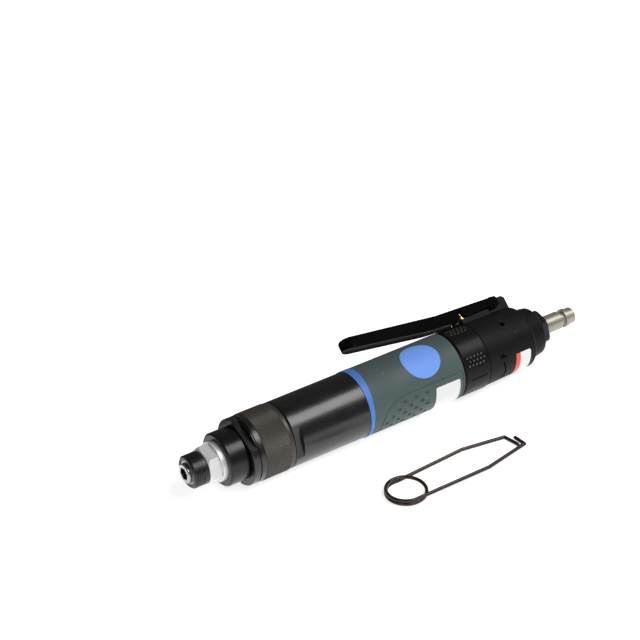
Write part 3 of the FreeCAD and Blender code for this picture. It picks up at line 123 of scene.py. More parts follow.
def stretched_noise(tree: NodeTree, given: bpy.types.Node, stretch: Place,
                    detail: float) -> bpy.types.NodeSocket:
    """Add noise on Object coordinates, stretched along the axes.

    Args:
        tree: The tree that takes the nodes.
        given: The tree's input node, which gives the noise its Scale.
        stretch: Factors on x, y and z before the noise is read.
        detail: The noise's detail.

    Returns:
        The noise.
    """
    coordinates = tree.nodes.new("ShaderNodeTexCoord")
    mapping = tree.nodes.new("ShaderNodeMapping")
    mapping.inputs["Scale"].default_value = stretch
    noise = tree.nodes.new("ShaderNodeTexNoise")
    noise.inputs["Detail"].default_value = detail
    tree.links.new(coordinates.outputs["Object"], mapping.inputs["Vector"])
    tree.links.new(mapping.outputs["Vector"], noise.inputs["Vector"])
    tree.links.new(given.outputs["Scale"], noise.inputs["Scale"])
    return noise.outputs["Fac"]


def ranged(tree: NodeTree, source: bpy.types.NodeSocket, low: float, high: float) -> bpy.types.Node:
    """Spread a value between two marks over 0 to 1.

    Args:
        tree: The tree that takes the node.
        source: The value to spread.
        low: The mark that becomes 0.
        high: The mark that becomes 1.

    Returns:
        The Map Range node, whose last two sockets may be set or linked.
    """
    node = tree.nodes.new("ShaderNodeMapRange")
    node.inputs["From Min"].default_value = low
    node.inputs["From Max"].default_value = high
    tree.links.new(source, node.inputs["Value"])
    return node


def make_handling_group() -> NodeTree:
    """Make uneven gloss, as hands and oil leave it: a value between Low and High."""
    tree, given, put = new_group("handling", {"Scale": 90.0, "Low": 0.2, "High": 0.4}, ["Value"])
    noise = stretched_noise(tree, given, stretch=(0.45, 1.0, 1.0), detail=4.0)
    spread = ranged(tree, noise, low=0.35, high=0.68)
    tree.links.new(given.outputs["Low"], spread.inputs["To Min"])
    tree.links.new(given.outputs["High"], spread.inputs["To Max"])
    tree.links.new(spread.outputs["Result"], put.inputs["Value"])
    return tree


def make_grain_group() -> NodeTree:
    """Make the fine even grain of a moulded or sprayed surface, as a height."""
    tree, given, put = new_group("grain", {"Scale": 1500.0}, ["Height"])
    noise = stretched_noise(tree, given, stretch=(1.0, 1.0, 1.0), detail=2.0)
    tree.links.new(noise, put.inputs["Height"])
    return tree


def make_turning_group() -> NodeTree:
    """Make the fine rings that a lathe leaves round the X axis, as a height."""
    tree, given, put = new_group("turning", {"Scale": 60.0}, ["Height"])
    noise = stretched_noise(tree, given, stretch=(60.0, 0.6, 0.6), detail=3.0)
    tree.links.new(noise, put.inputs["Height"])
    return tree


def make_speck_group() -> NodeTree:
    """Make sparse specks of dust and tiny nicks, as a mask."""
    tree, given, put = new_group("specks", {"Scale": 420.0, "Amount": 1.0}, ["Mask"])
    noise = stretched_noise(tree, given, stretch=(1.0, 1.0, 1.0), detail=1.0)
    spread = ranged(tree, noise, low=0.72, high=0.8)
    tree.links.new(given.outputs["Amount"], spread.inputs["To Max"])
    tree.links.new(spread.outputs["Result"], put.inputs["Mask"])
    return tree


def make_reach_group() -> NodeTree:
    """Make a mask that grows from 0 to 1 between two distances from the tool's axis, in metres."""
    tree, given, put = new_group("reach", {"Low": 0.0185, "High": 0.0187}, ["Mask"])
    coordinates = tree.nodes.new("ShaderNodeTexCoord")
    across = tree.nodes.new("ShaderNodeVectorMath")
    across.operation = "MULTIPLY"
    across.inputs[1].default_value = (0, 1, 1)
    length = tree.nodes.new("ShaderNodeVectorMath")
    length.operation = "LENGTH"
    spread = tree.nodes.new("ShaderNodeMapRange")
    tree.links.new(coordinates.outputs["Object"], across.inputs[0])
    tree.links.new(across.outputs["Vector"], length.inputs[0])
    tree.links.new(length.outputs["Value"], spread.inputs["Value"])
    tree.links.new(given.outputs["Low"], spread.inputs["From Min"])
    tree.links.new(given.outputs["High"], spread.inputs["From Max"])
    tree.links.new(spread.outputs["Result"], put.inputs["Mask"])
    return tree


@dataclass
class Groups:
    """The shader groups that the finishes share."""

    handling: NodeTree = field(default_factory=make_handling_group)
    grain: NodeTree = field(default_factory=make_grain_group)
    turning: NodeTree = field(default_factory=make_turning_group)
    specks: NodeTree = field(default_factory=make_speck_group)
    reach: NodeTree = field(default_factory=make_reach_group)


class Relief(Enum):
    """Which fine relief a finish has."""

    NONE = "none"
    GRAIN = "grain"
    TURNING = "turning"


class MixNode:
    """A colour Mix node with its colour sockets by plain names."""

    def __init__(self, node: bpy.types.Node) -> None:
        """Find the colour sockets of the node."""
        colours = [socket for socket in node.inputs if socket.type == "RGBA"]
        self.inputs = {"A": colours[0], "B": colours[1]}
        self.outputs = {"Result": [socket for socket in node.outputs if socket.type == "RGBA"][0]}


@dataclass(frozen=True)
class Finish:
    """A surface finish: two tones that mix unevenly, uneven gloss, fine relief and a few specks.

    The relief's depth and the reach of the lighter peak tone are in metres, as shaders have them.
    """

    name: str
    tone: Colour
    other_tone: Colour
    gloss: tuple[float, float]
    metallic: float = 0.0
    specular: float = 0.5
    sheen: float = 0.0
    relief: Relief = Relief.GRAIN
    relief_scale: float = 1500.0
    relief_depth: float = 0.00002
    relief_strength: float = 0.3
    patch_scale: float = 90.0
    tone_patch_share: float = 0.6
    speck_tone: Colour = (0.25, 0.25, 0.25)
    speck_amount: float = 0.15
    peak_tone: Colour | None = None
    peak_reach: tuple[float, float] = (0.0, 1.0)

    def build(self, groups: Groups) -> bpy.types.Material:
        """Make the material.

        Args:
            groups: The shared shader groups.

        Returns:
            The finished material.
        """
        material = bpy.data.materials.new(self.name)
        material.use_nodes = True
        tree = material.node_tree
        shader = tree.nodes["Principled BSDF"]
        shader.inputs["Metallic"].default_value = self.metallic
        shader.inputs["Specular IOR Level"].default_value = self.specular
        shader.inputs["Sheen Weight"].default_value = self.sheen
        low, high = self.gloss
        gloss = self.placed(tree, groups.handling, Scale=self.patch_scale, Low=low, High=high)
        tree.links.new(gloss.outputs["Value"], shader.inputs["Roughness"])
        scale = self.patch_scale * self.tone_patch_share
        patches = self.placed(tree, groups.handling, Scale=scale, Low=0.0, High=1.0)
        tones = self.mixed(tree, patches.outputs["Value"], self.tone, self.other_tone)
        specks = self.placed(tree, groups.specks, Amount=self.speck_amount)
        dusted = self.mixed(tree, specks.outputs["Mask"], self.tone, self.speck_tone)
        tree.links.new(tones.outputs["Result"], dusted.inputs["A"])
        if self.peak_tone is None:
            tree.links.new(dusted.outputs["Result"], shader.inputs["Base Color"])
        else:
            # A lighter tone on what lies farthest from the tool's axis, such as the knurl's peaks.
            low, high = self.peak_reach
            tips = self.placed(tree, groups.reach, Low=low, High=high)
            peak_mix = self.mixed(tree, tips.outputs["Mask"], self.tone, self.peak_tone)
            tree.links.new(dusted.outputs["Result"], peak_mix.inputs["A"])
            tree.links.new(peak_mix.outputs["Result"], shader.inputs["Base Color"])
        if self.relief is not Relief.NONE:
            group = groups.grain if self.relief is Relief.GRAIN else groups.turning
            height = self.placed(tree, group, Scale=self.relief_scale)
            bump = tree.nodes.new("ShaderNodeBump")
            bump.inputs["Strength"].default_value = self.relief_strength
            bump.inputs["Distance"].default_value = self.relief_depth
            tree.links.new(height.outputs["Height"], bump.inputs["Height"])
            tree.links.new(bump.outputs["Normal"], shader.inputs["Normal"])
        material.diffuse_color = (*self.tone, 1.0)
        return material

    @staticmethod
    def placed(tree: NodeTree, group: NodeTree, **values: float) -> bpy.types.Node:
        """Put a shader group into a material.

        Args:
            tree: The material's tree.
            group: The group.
            values: The values of its inputs.

        Returns:
            The group's node.
        """
        node = tree.nodes.new("ShaderNodeGroup")
        node.node_tree = group
        for label, value in values.items():
            node.inputs[label].default_value = value
        return node

    @staticmethod
    def mixed(tree: NodeTree, factor: bpy.types.NodeSocket, low: Colour, high: Colour) -> MixNode:
        """Mix two colours by a mask.

        Args:
            tree: The material's tree.
            factor: The mask.
            low: The colour where the mask is 0.
            high: The colour where the mask is 1.

        Returns:
            The Mix node.
        """
        node = tree.nodes.new("ShaderNodeMix")
        node.data_type = "RGBA"
        tree.links.new(factor, node.inputs["Factor"])
        mix = MixNode(node)
        mix.inputs["A"].default_value = (*low, 1.0)
        mix.inputs["B"].default_value = (*high, 1.0)
        return mix


GROUND_STEEL = Finish(
    "ground_steel", (0.52, 0.52, 0.53), (0.42, 0.42, 0.43), (0.16, 0.3), metallic=1.0,
    relief=Relief.TURNING, relief_scale=60.0, relief_depth=0.00001, speck_tone=(0.2, 0.19, 0.18),
)
BRIGHT_NICKEL = Finish(
    "bright_nickel", (0.86, 0.855, 0.85), (0.8, 0.795, 0.79), (0.36, 0.48), metallic=0.5,
    relief=Relief.TURNING, relief_scale=45.0, relief_depth=0.00003, relief_strength=0.6,
    speck_tone=(0.25, 0.24, 0.23),
)
WARM_NICKEL = Finish(
    "warm_nickel", (0.4, 0.37, 0.315), (0.33, 0.305, 0.26), (0.36, 0.48), metallic=0.6, specular=0.3,
    relief=Relief.TURNING, relief_scale=45.0, relief_depth=0.00001, speck_tone=(0.3, 0.27, 0.22),
)
SPRING_WIRE = Finish(
    "spring_wire", (0.32, 0.32, 0.33), (0.24, 0.24, 0.25), (0.25, 0.4), metallic=1.0, relief=Relief.NONE,
)
BLACK_OXIDE = Finish(
    "black_oxide", (0.006, 0.0055, 0.0055), (0.01, 0.009, 0.009), (0.26, 0.38), specular=0.45,
    relief=Relief.TURNING, relief_scale=50.0, relief_depth=0.00001, speck_tone=(0.12, 0.12, 0.12),
)
GLOSS_BLACK = Finish(
    "gloss_black", (0.004, 0.0036, 0.0036), (0.007, 0.006, 0.006), (0.2, 0.32), specular=0.35,
    relief_scale=700.0, relief_depth=0.00001, speck_tone=(0.1, 0.1, 0.1),
)
CASE_BLACK = replace(GLOSS_BLACK, name="case_black", specular=0.62)
LEVER_BLACK = Finish(
    "lever_black", (0.003, 0.003, 0.003), (0.004, 0.0039, 0.0039), (0.24, 0.36), specular=0.004,
    relief_scale=700.0, relief_depth=0.00001, speck_tone=(0.1, 0.1, 0.1),
)
SATIN_BLACK = Finish(
    "satin_black", (0.007, 0.0068, 0.007), (0.01, 0.0096, 0.01), (0.44, 0.56), specular=0.1,
    relief_scale=1700.0, relief_depth=0.00003, speck_tone=(0.12, 0.12, 0.12), speck_amount=0.3,
)
# The knurl's peaks get a lighter tone, mixed in by distance from the tool's axis.
KNURL_BLACK = Finish(
    "knurl_black", (0.04, 0.034, 0.027), (0.052, 0.045, 0.036), (0.32, 0.44), metallic=0.1, specular=0.4,
    relief_scale=1200.0, speck_tone=(0.2, 0.19, 0.17), peak_tone=(0.23, 0.215, 0.185),
    peak_reach=(0.01858, 0.01873),
)
BLACK_PLASTIC = Finish(
    "black_plastic", (0.005, 0.0048, 0.0048), (0.008, 0.0075, 0.0075), (0.31, 0.44), specular=0.13,
    relief_scale=1900.0, relief_depth=0.00003, speck_tone=(0.12, 0.12, 0.12), speck_amount=0.25,
)
BLUE_PLASTIC = Finish(
    "blue_plastic", (0.075, 0.2, 0.58), (0.085, 0.22, 0.62), (0.4, 0.5), relief_scale=1600.0, specular=0.3,
    speck_tone=(0.3, 0.4, 0.8),
)
BADGE_BLUE = Finish(
    "badge_blue", (0.165, 0.34, 0.88), (0.18, 0.36, 0.9), (0.45, 0.55), relief=Relief.NONE, specular=0.2,
    speck_tone=(0.4, 0.5, 0.9), speck_amount=0.05,
)
GRIP_RUBBER = Finish(
    "grip_rubber", (0.06, 0.091, 0.09), (0.07, 0.102, 0.1), (0.5, 0.64), sheen=0.04, specular=0.32,
    relief_scale=2200.0, relief_depth=0.00004, speck_tone=(0.2, 0.24, 0.23), speck_amount=0.3,
)
TURNED_BRASS = Finish(
    "turned_brass", (0.75, 0.5, 0.16), (0.62, 0.4, 0.12), (0.12, 0.26), metallic=1.0,
    relief=Relief.TURNING, relief_scale=50.0, relief_depth=0.00001, speck_tone=(0.3, 0.2, 0.08),
)
GROUND_IRON = Finish(
    "ground_iron", (0.2, 0.2, 0.2), (0.15, 0.15, 0.15), (0.35, 0.5), metallic=0.9, relief_scale=900.0,
)
VANE_FIBRE = Finish(
    "vane_fibre", (0.22, 0.13, 0.055), (0.17, 0.1, 0.04), (0.5, 0.65), relief_scale=1100.0,
)
SEAL_RUBBER = Finish("seal_rubber", (0.01, 0.01, 0.01), (0.015, 0.015, 0.015), (0.45, 0.6))
BRONZE_WIRE = Finish(
    "bronze_wire", (0.035, 0.026, 0.022), (0.055, 0.04, 0.032), (0.2, 0.34), metallic=0.6,
    relief_scale=900.0, relief_depth=0.00001, speck_tone=(0.2, 0.16, 0.13),
)
WHITE_PLATE = Finish(
    "white_plate", (0.8, 0.8, 0.8), (0.76, 0.76, 0.77), (0.3, 0.42), relief=Relief.NONE,
    speck_tone=(0.6, 0.6, 0.6),
)
RED_PLATE = Finish(
    "red_plate", (0.75, 0.07, 0.025), (0.7, 0.06, 0.02), (0.3, 0.42), relief=Relief.NONE,
    speck_tone=(0.5, 0.2, 0.1),
)
# Near-black with no specular: painted shade that stands in for the shade inside the moulded grooves of the
# direction letter, its arc and the ring's index line.
GROOVE_SHADE_BLACK = Finish(
    "painted_groove_shade", (0.001, 0.001, 0.001), (0.0015, 0.0015, 0.0015), (0.5, 0.6), relief=Relief.NONE,
    specular=0.0, speck_amount=0.0,
)
# The grip dots are raised domes of the ring's black plastic; their lighter brownish tone is a painted
# highlight for the glints on them.
DOTS_WITH_PAINTED_GLINT = Finish(
    "dot_plastic_painted_glint", (0.05, 0.045, 0.032), (0.065, 0.058, 0.042), (0.2, 0.3), relief=Relief.NONE, specular=0.8,
)

SLOT_FINISHES: dict[str, Finish] = {
    "steel": GROUND_STEEL, "nickel": BRIGHT_NICKEL, "spring_steel": SPRING_WIRE,
    "black_oxide_steel": BLACK_OXIDE, "gloss_black_metal": GLOSS_BLACK,
    "satin_black_aluminium": SATIN_BLACK, "knurl_black": KNURL_BLACK, "black_plastic": BLACK_PLASTIC,
    "blue_plastic": BLUE_PLASTIC, "grey_green_rubber": GRIP_RUBBER, "brass": TURNED_BRASS,
    "cast_iron": GROUND_IRON, "vane_fibre": VANE_FIBRE, "seal_rubber": SEAL_RUBBER,
    "bronze_wire": BRONZE_WIRE,
}
NODE_FINISHES: dict[str, Finish] = {
    "air_plug": WARM_NICKEL, "throttle_lever": LEVER_BLACK, "lever_pin": LEVER_BLACK,
    "motor_case": CASE_BLACK, "front_lock_ring": CASE_BLACK,
}


class Workshop:
    """Builds meshes into pieces, and keeps one material for each finish."""

    def __init__(self, frame: dict) -> None:
        """Keep the frame and make the shared shader groups."""
        self.frame = frame
        self.groups = Groups()
        self.materials: dict[str, bpy.types.Material] = {}

    def material(self, finish: Finish) -> bpy.types.Material:
        """Give the material of a finish, made once."""
        if finish.name not in self.materials:
            self.materials[finish.name] = finish.build(self.groups)
        return self.materials[finish.name]

    def dress_nodes(self) -> None:
        """Give each CAD piece its finish."""
        for part in self.frame["record"]["subparts"]:
            node = self.frame["nodes"][part["node"]]
            finish = NODE_FINISHES.get(part["node"], SLOT_FINISHES[part["material_slot"]])
            node.data.materials.clear()
            node.data.materials.append(self.material(finish))
            LOG.info("%s wears %s", part["node"], finish.name)

    def piece(self, name: str, bm: BMesh, body: Body, slot: str, finish: Finish,
              sharp: float = 35.0) -> bpy.types.Object:
        """Make a finished piece from a mesh that is already in place.

        Args:
            name: The piece's name.
            bm: The mesh, in metres. It is freed.
            body: The body that carries the piece.
            slot: The record's material slot; not used.
            finish: Its finish.
            sharp: Edges turned by more than this many degrees stay sharp.

        Returns:
            The new object.
        """
        shade(bm, sharp)
        item = add_mesh(name, bm)
        item.data.materials.append(self.material(finish))
        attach(item, body.value)
        LOG.info("%s rides on %s", name, body.value)
        return item


# ---- mesh helpers


def on_line(line: Line, x: float) -> float:
    """Give the value at x on a line through (x, value) points, which runs on beyond its ends."""
    for (x1, value1), (x2, value2) in zip(line, line[1:]):
        if x < x2:
            break
    return value1 + (value2 - value1) * ((x - x1) / (x2 - x1))


def add_object(name: str, data: bpy.types.ID) -> bpy.types.Object:
    """Put an object with its data into the scene."""
    item = bpy.data.objects.new(name, data)
    bpy.context.scene.collection.objects.link(item)
    return item


def add_mesh(name: str, bm: BMesh) -> bpy.types.Object:
    """Put a mesh into the scene as an object, and free it."""
    mesh = bpy.data.meshes.new(name)
    bm.to_mesh(mesh)
    bm.free()
    return add_object(name, mesh)


def shaped_mesh(item: bpy.types.Object) -> bpy.types.Mesh:
    """Give the mesh that an object's modifiers, curve or text make."""
    bpy.context.view_layer.update()
    return bpy.data.meshes.new_from_object(item.evaluated_get(bpy.context.evaluated_depsgraph_get()))


def drawn(data: bpy.types.Curve) -> BMesh:
    """Turn a curve or a text into a mesh."""
    holder = add_object(data.name, data)
    mesh = shaped_mesh(holder)
    bpy.data.objects.remove(holder)
    bm = bmesh.new()
    bm.from_mesh(mesh)
    bpy.data.meshes.remove(mesh)
    return bm


def everything(bm: BMesh) -> list:
    """Give all corners, edges and faces of a mesh."""
    return bm.verts[:] + bm.edges[:] + bm.faces[:]


def shade(bm: BMesh, sharp: float) -> None:
    """Shade a mesh smooth, except over edges that turn by more than sharp degrees."""
    limit = math.radians(sharp)
    for face in bm.faces:
        face.smooth = True
    for edge in bm.edges:
        edge.smooth = not (len(edge.link_faces) == 2 and edge.calc_face_angle(0.0) > limit)


def block(size: Place, middle: Place) -> BMesh:
    """Make a block of a size about its middle."""
    bm = bmesh.new()
    bmesh.ops.create_cube(bm, size=1.0)
    bmesh.ops.scale(bm, vec=size, verts=bm.verts[:])
    bmesh.ops.translate(bm, verts=bm.verts[:], vec=middle)
    return bm


def stand(bm: BMesh) -> None:
    """Turn a mesh that is drawn with the lever up to how the tool lies, and bring it to metres."""
    turn = Matrix.Rotation(-math.radians(ROLL), 3, "X")
    bmesh.ops.rotate(bm, verts=bm.verts[:], cent=(0, 0, 0), matrix=turn)
    bmesh.ops.scale(bm, vec=(MM, MM, MM), verts=bm.verts[:])


def wrap(bm: BMesh, place: tuple[float, float], radius: float, taper: Line | None = None) -> None:
    """Bend a flat mesh round the tool's axis and bring it to metres.

    Args:
        bm: A mesh with x along the axis, y round it and z above the surface.
        place: Where its origin goes, as x and angle.
        radius: The surface's radius.
        taper: The radius along x, on a surface that tapers.
    """
    bmesh.ops.translate(bm, verts=bm.verts[:], vec=(place[0], 0, 0))
    for vertex in bm.verts:
        turn = math.radians(place[1]) + vertex.co.y / radius
        reach = (on_line(taper, vertex.co.x) if taper else radius) + vertex.co.z
        vertex.co = Vector((vertex.co.x, reach * math.sin(turn), reach * math.cos(turn))) * MM


def slice_across(bm: BMesh, step: float) -> None:
    """Cut a flat mesh into strips along x, so that it can be wrapped."""
    low = min(vertex.co.y for vertex in bm.verts)
    high = max(vertex.co.y for vertex in bm.verts)
    count = max(1, int((high - low) / step))
    for number in range(1, count):
        bmesh.ops.bisect_plane(
            bm, geom=everything(bm), dist=1e-6,
            plane_co=(0, low + (high - low) * number / count, 0), plane_no=(0, 1, 0),
        )


def thicken(bm: BMesh, thickness: float, sink: float = 0.08) -> None:
    """Give a flat mesh its thickness.

    Args:
        bm: The flat mesh, facing up.
        thickness: How far it stands above the surface.
        sink: How far it goes down into the surface.
    """
    raised = bmesh.ops.extrude_face_region(bm, geom=bm.faces[:])["geom"]
    corners = [item for item in raised if isinstance(item, bmesh.types.BMVert)]
    bmesh.ops.translate(bm, verts=bm.verts[:], vec=(0, 0, -sink))
    bmesh.ops.translate(bm, verts=corners, vec=(0, 0, sink + thickness))
    bmesh.ops.recalc_face_normals(bm, faces=bm.faces[:])


def round_corners(bm: BMesh, corners: list[bmesh.types.BMVert], radius: float) -> None:
    """Round some corners of a flat mesh."""
    bmesh.ops.bevel(
        bm, geom=corners, offset=radius, offset_type="OFFSET", affect="VERTICES", segments=6, profile=0.5,
        material=-1,
    )


def flat_plate(length: float, width: float) -> BMesh:
    """Draw a flat rectangle about the origin, facing up, with its length along x."""
    bm = bmesh.new()
    bmesh.ops.create_grid(bm, x_segments=1, y_segments=1, size=0.5)
    bmesh.ops.scale(bm, vec=(length, width, 1), verts=bm.verts[:])
    return bm


def cut(piece: bpy.types.Object, cutters: Iterable[bpy.types.Object]) -> None:
    """Cut other objects out of a piece and delete them.

    Args:
        piece: The object that is cut.
        cutters: Closed objects.
    """
    for cutter in cutters:
        step = piece.modifiers.new("cut", "BOOLEAN")
        step.operation = "DIFFERENCE"
        step.solver = "MANIFOLD"
        step.object = cutter
    mesh = shaped_mesh(piece)
    old = piece.data
    piece.modifiers.clear()
    piece.data = mesh
    mesh.name = piece.name
    bpy.data.meshes.remove(old)
    for cutter in cutters:
        bpy.data.objects.remove(cutter)


def groove_cutter(points: list[tuple[float, float]], radius: float, depth: float) -> bpy.types.Object:
    """Make a round bar that follows a closed line on the tool's surface.

    Args:
        points: The line's control points as (x, angle) pairs.
        radius: The radius at which the bar's middle runs.
        depth: The bar's own radius.

    Returns:
        The bar.
    """
    curve = bpy.data.curves.new("bar", "CURVE")
    curve.dimensions = "3D"
    curve.bevel_depth = depth * MM
    curve.bevel_resolution = 2
    curve.resolution_u = 8
    spline = curve.splines.new("NURBS")
    spline.points.add(len(points) - 1)
    for point, (x, angle) in zip(spline.points, points):
        turn = math.radians(angle)
        point.co = (x * MM, radius * math.sin(turn) * MM, radius * math.cos(turn) * MM, 1.0)
    spline.order_u = 3
    spline.use_cyclic_u = True
    bm = drawn(curve)
    bmesh.ops.remove_doubles(bm, verts=bm.verts[:], dist=1e-7)
    bmesh.ops.recalc_face_normals(bm, faces=bm.faces[:])
    return add_mesh("bar", bm)


# ---- the sub-assemblies


@dataclass
class TorqueCollar:
    """The knurled collar that sets the torque."""

    shop: Workshop
    front: float = 39.2
    rear: float = 54.2
    surface: float = 18.5
    lift: float = 0.02
    height: float = 0.2
    sink_share: float = 0.985
    cells_round: int = 128
    cells_along: int = 16

    def build(self) -> None:
        """Raise the diamond knurl as one closed band."""
        bm = bmesh.new()
        bmesh.ops.create_grid(bm, x_segments=self.cells_along, y_segments=self.cells_round, size=0.5)
        squares = bm.edges[:]
        bmesh.ops.poke(bm, faces=bm.faces[:])
        halves = bmesh.ops.subdivide_edges(bm, edges=squares, cuts=1)
        peaks = [item for item in halves["geom_inner"] if isinstance(item, bmesh.types.BMVert)]
        around = math.tau * self.surface
        bmesh.ops.translate(bm, verts=peaks, vec=(0, 0, self.height))
        bmesh.ops.translate(bm, verts=bm.verts[:], vec=(0.5, 0, self.lift))
        bmesh.ops.scale(bm, vec=(self.rear - self.front, around, 1), verts=bm.verts[:])
        wrap(bm, (self.front, 0.0), self.surface)
        bmesh.ops.remove_doubles(bm, verts=bm.verts[:], dist=1e-6)
        rims = [edge for edge in bm.edges if edge.is_boundary]
        inner = bmesh.ops.extrude_edge_only(bm, edges=rims)["geom"]
        sunk = [item for item in inner if isinstance(item, bmesh.types.BMVert)]
        shrink = Matrix.Diagonal((1, self.sink_share, self.sink_share, 1))
        bmesh.ops.transform(bm, matrix=shrink, verts=sunk)
        loops = [item for item in inner if isinstance(item, bmesh.types.BMEdge)]
        bmesh.ops.bridge_loops(bm, edges=loops)
        bmesh.ops.recalc_face_normals(bm, faces=bm.faces[:])
        self.shop.piece("knurl_band", bm, Body.COLLAR, "knurl_black", KNURL_BLACK, sharp=15.0)


@dataclass
class Grip:
    """The moulded rubber grip with its seam, dimples, badge and label."""

    shop: Workshop
    joint: float = 107.43
    joint_slant: float = 1.6
    rear: float = 165.6
    inner: float = 16.63
    outer: float = 18.6
    edge: float = 0.5
    cells_along: int = 54
    cells_inside: int = 4
    cells_round: int = 220
    belly: float = -130.0
    seam_half: float = 64.0
    seam_step: float = 16.0
    seam_lift: float = 0.03
    seam_depth: float = 0.3
    seam_rear: float = 164.2
    seam_nose: Line = (
        (146.0, 64.0), (133.0, 64.0), (124.5, 63.5), (118.6, 57.0), (114.9, 49.0), (112.6, 38.0),
        (111.4, 22.0), (111.2, 8.0),
    )
    dimple_pitch: float = 7.4
    dimple_row: float = 10.4
    dimple_start: float = 118.2
    dimple_columns: int = 5
    dimple_shape: Place = (1.3, 1.05, 0.8)
    panel_margin: float = 9.0
    label_margin: float = 3.0
    badge_place: tuple[float, float] = (143.8, -20.5)
    badge_radius: float = 11.15
    badge_sides: int = 96
    badge_height: float = 0.22
    badge_strip: float = 0.35
    label: tuple[float, float] = (146.1, 161.9)
    label_half: float = 53.0
    label_corner: float = 1.0
    label_height: float = 0.1
    sharp: float = 25.0

    def blank(self) -> BMesh:
        """Turn the plain sleeve of the grip and cut its slanted front."""
        bm = bmesh.new()
        front = self.joint - self.joint_slant * 2
        corners = [
            (front, self.inner), (self.rear, self.inner), (self.rear, self.outer - self.edge),
            (self.rear - self.edge, self.outer), (front, self.outer),
        ]
        verts = [bm.verts.new((x * MM, 0, radius * MM)) for x, radius in corners]
        edges = [bm.edges.new(pair) for pair in zip(verts, verts[1:] + verts[:1])]
        bmesh.ops.subdivide_edges(bm, edges=[edges[3]], cuts=self.cells_along)
        bmesh.ops.subdivide_edges(bm, edges=[edges[0]], cuts=self.cells_inside)
        bmesh.ops.spin(
            bm, geom=bm.verts[:] + bm.edges[:], cent=(0, 0, 0), axis=(1, 0, 0), dvec=(0, 0, 0),
            angle=math.tau, steps=self.cells_round, use_merge=True, use_duplicate=False,
        )
        bmesh.ops.remove_doubles(bm, verts=bm.verts[:], dist=1e-7)
        lean = self.joint_slant / self.outer
        turn = math.radians(ROLL)
        bmesh.ops.bisect_plane(
            bm, geom=everything(bm), dist=1e-7, plane_co=(self.joint * MM, 0, 0),
            plane_no=(1, -lean * math.sin(turn), -lean * math.cos(turn)), clear_inner=True,
        )
        bmesh.ops.bridge_loops(bm, edges=[edge for edge in bm.edges if edge.is_boundary])
        bmesh.ops.recalc_face_normals(bm, faces=bm.faces[:])
        return bm

    def seam(self) -> bpy.types.Object:
        """Make the bar that cuts the seam round the belly panel."""
        upper = [(self.seam_rear, self.seam_half)] * 2 + list(self.seam_nose)
        lower = [(x, -off) for x, off in reversed(upper)]
        steps = int(2 * self.seam_half / self.seam_step)
        rear = [(self.seam_rear, -self.seam_half + self.seam_step * step) for step in range(1, steps)]
        points = [(x, self.belly + off) for x, off in upper + lower + rear]
        return groove_cutter(points, self.outer + self.seam_lift, self.seam_depth)

    def inside(self, x: float, off: float) -> bool:
        """Tell whether a place, by x and its angle from the middle, lies well inside the belly panel."""
        reach = on_line(self.seam_nose[::-1], x)
        return abs(off) < reach - self.panel_margin and x < self.label[0] - self.label_margin

    def dimples(self) -> bpy.types.Object:
        """Make the buttons that cut the dimples of the belly panel."""
        whole = bmesh.new()
        shape = Matrix.Diagonal((*(size * MM for size in self.dimple_shape), 1))
        rows = int(self.seam_half / self.dimple_row) * 2 + 1
        for row in range(rows):
            off = (row - rows // 2) * self.dimple_row
            shift = self.dimple_pitch / 2 if row % 2 == 0 else 0.0
            for column in range(self.dimple_columns):
                x = self.dimple_start + shift + self.dimple_pitch * (column - 1)
                if not self.inside(x, off):
                    continue
                turn = Matrix.Rotation(-math.radians(self.belly + off), 4, "X")
                place = turn @ Matrix.Translation((x * MM, 0, self.outer * MM))
                bmesh.ops.create_icosphere(whole, subdivisions=2, radius=1.0, matrix=place @ shape)
        return add_mesh("buttons", whole)

    def sleeve(self) -> None:
        """Make the grip with its seam and dimples cut in."""
        grip = self.shop.piece("grip_moulding", self.blank(), Body.HOUSING, "grey_green_rubber", GRIP_RUBBER)
        cut(grip, [self.seam(), self.dimples()])
        mesh = grip.data
        bm = bmesh.new()
        bm.from_mesh(mesh)
        shade(bm, self.sharp)
        bm.to_mesh(mesh)
        bm.free()
        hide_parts("grip_sleeve")

    def badge(self) -> None:
        """Make the bare round badge."""
        bm = bmesh.new()
        bmesh.ops.create_circle(bm, cap_ends=True, segments=self.badge_sides, radius=self.badge_radius)
        slice_across(bm, self.badge_strip)
        thicken(bm, self.badge_height)
        wrap(bm, self.badge_place, self.outer)
        self.shop.piece("round_badge", bm, Body.HOUSING, "blue_plastic", BADGE_BLUE)

    def label_plate(self) -> None:
        """Make the bare white label on the belly panel."""
        length = self.label[1] - self.label[0]
        width = math.radians(2 * self.label_half) * self.outer
        bm = flat_plate(length, width)
        round_corners(bm, bm.verts[:], self.label_corner)
        slice_across(bm, STRIP)
        thicken(bm, self.label_height)
        wrap(bm, (self.label[0] + length / 2, self.belly), self.outer)
        self.shop.piece("belly_label", bm, Body.HOUSING, "grey_green_rubber", WHITE_PLATE)

    def build(self) -> None:
        """Make the grip's pieces."""
        self.sleeve()
        self.badge()
        self.label_plate()


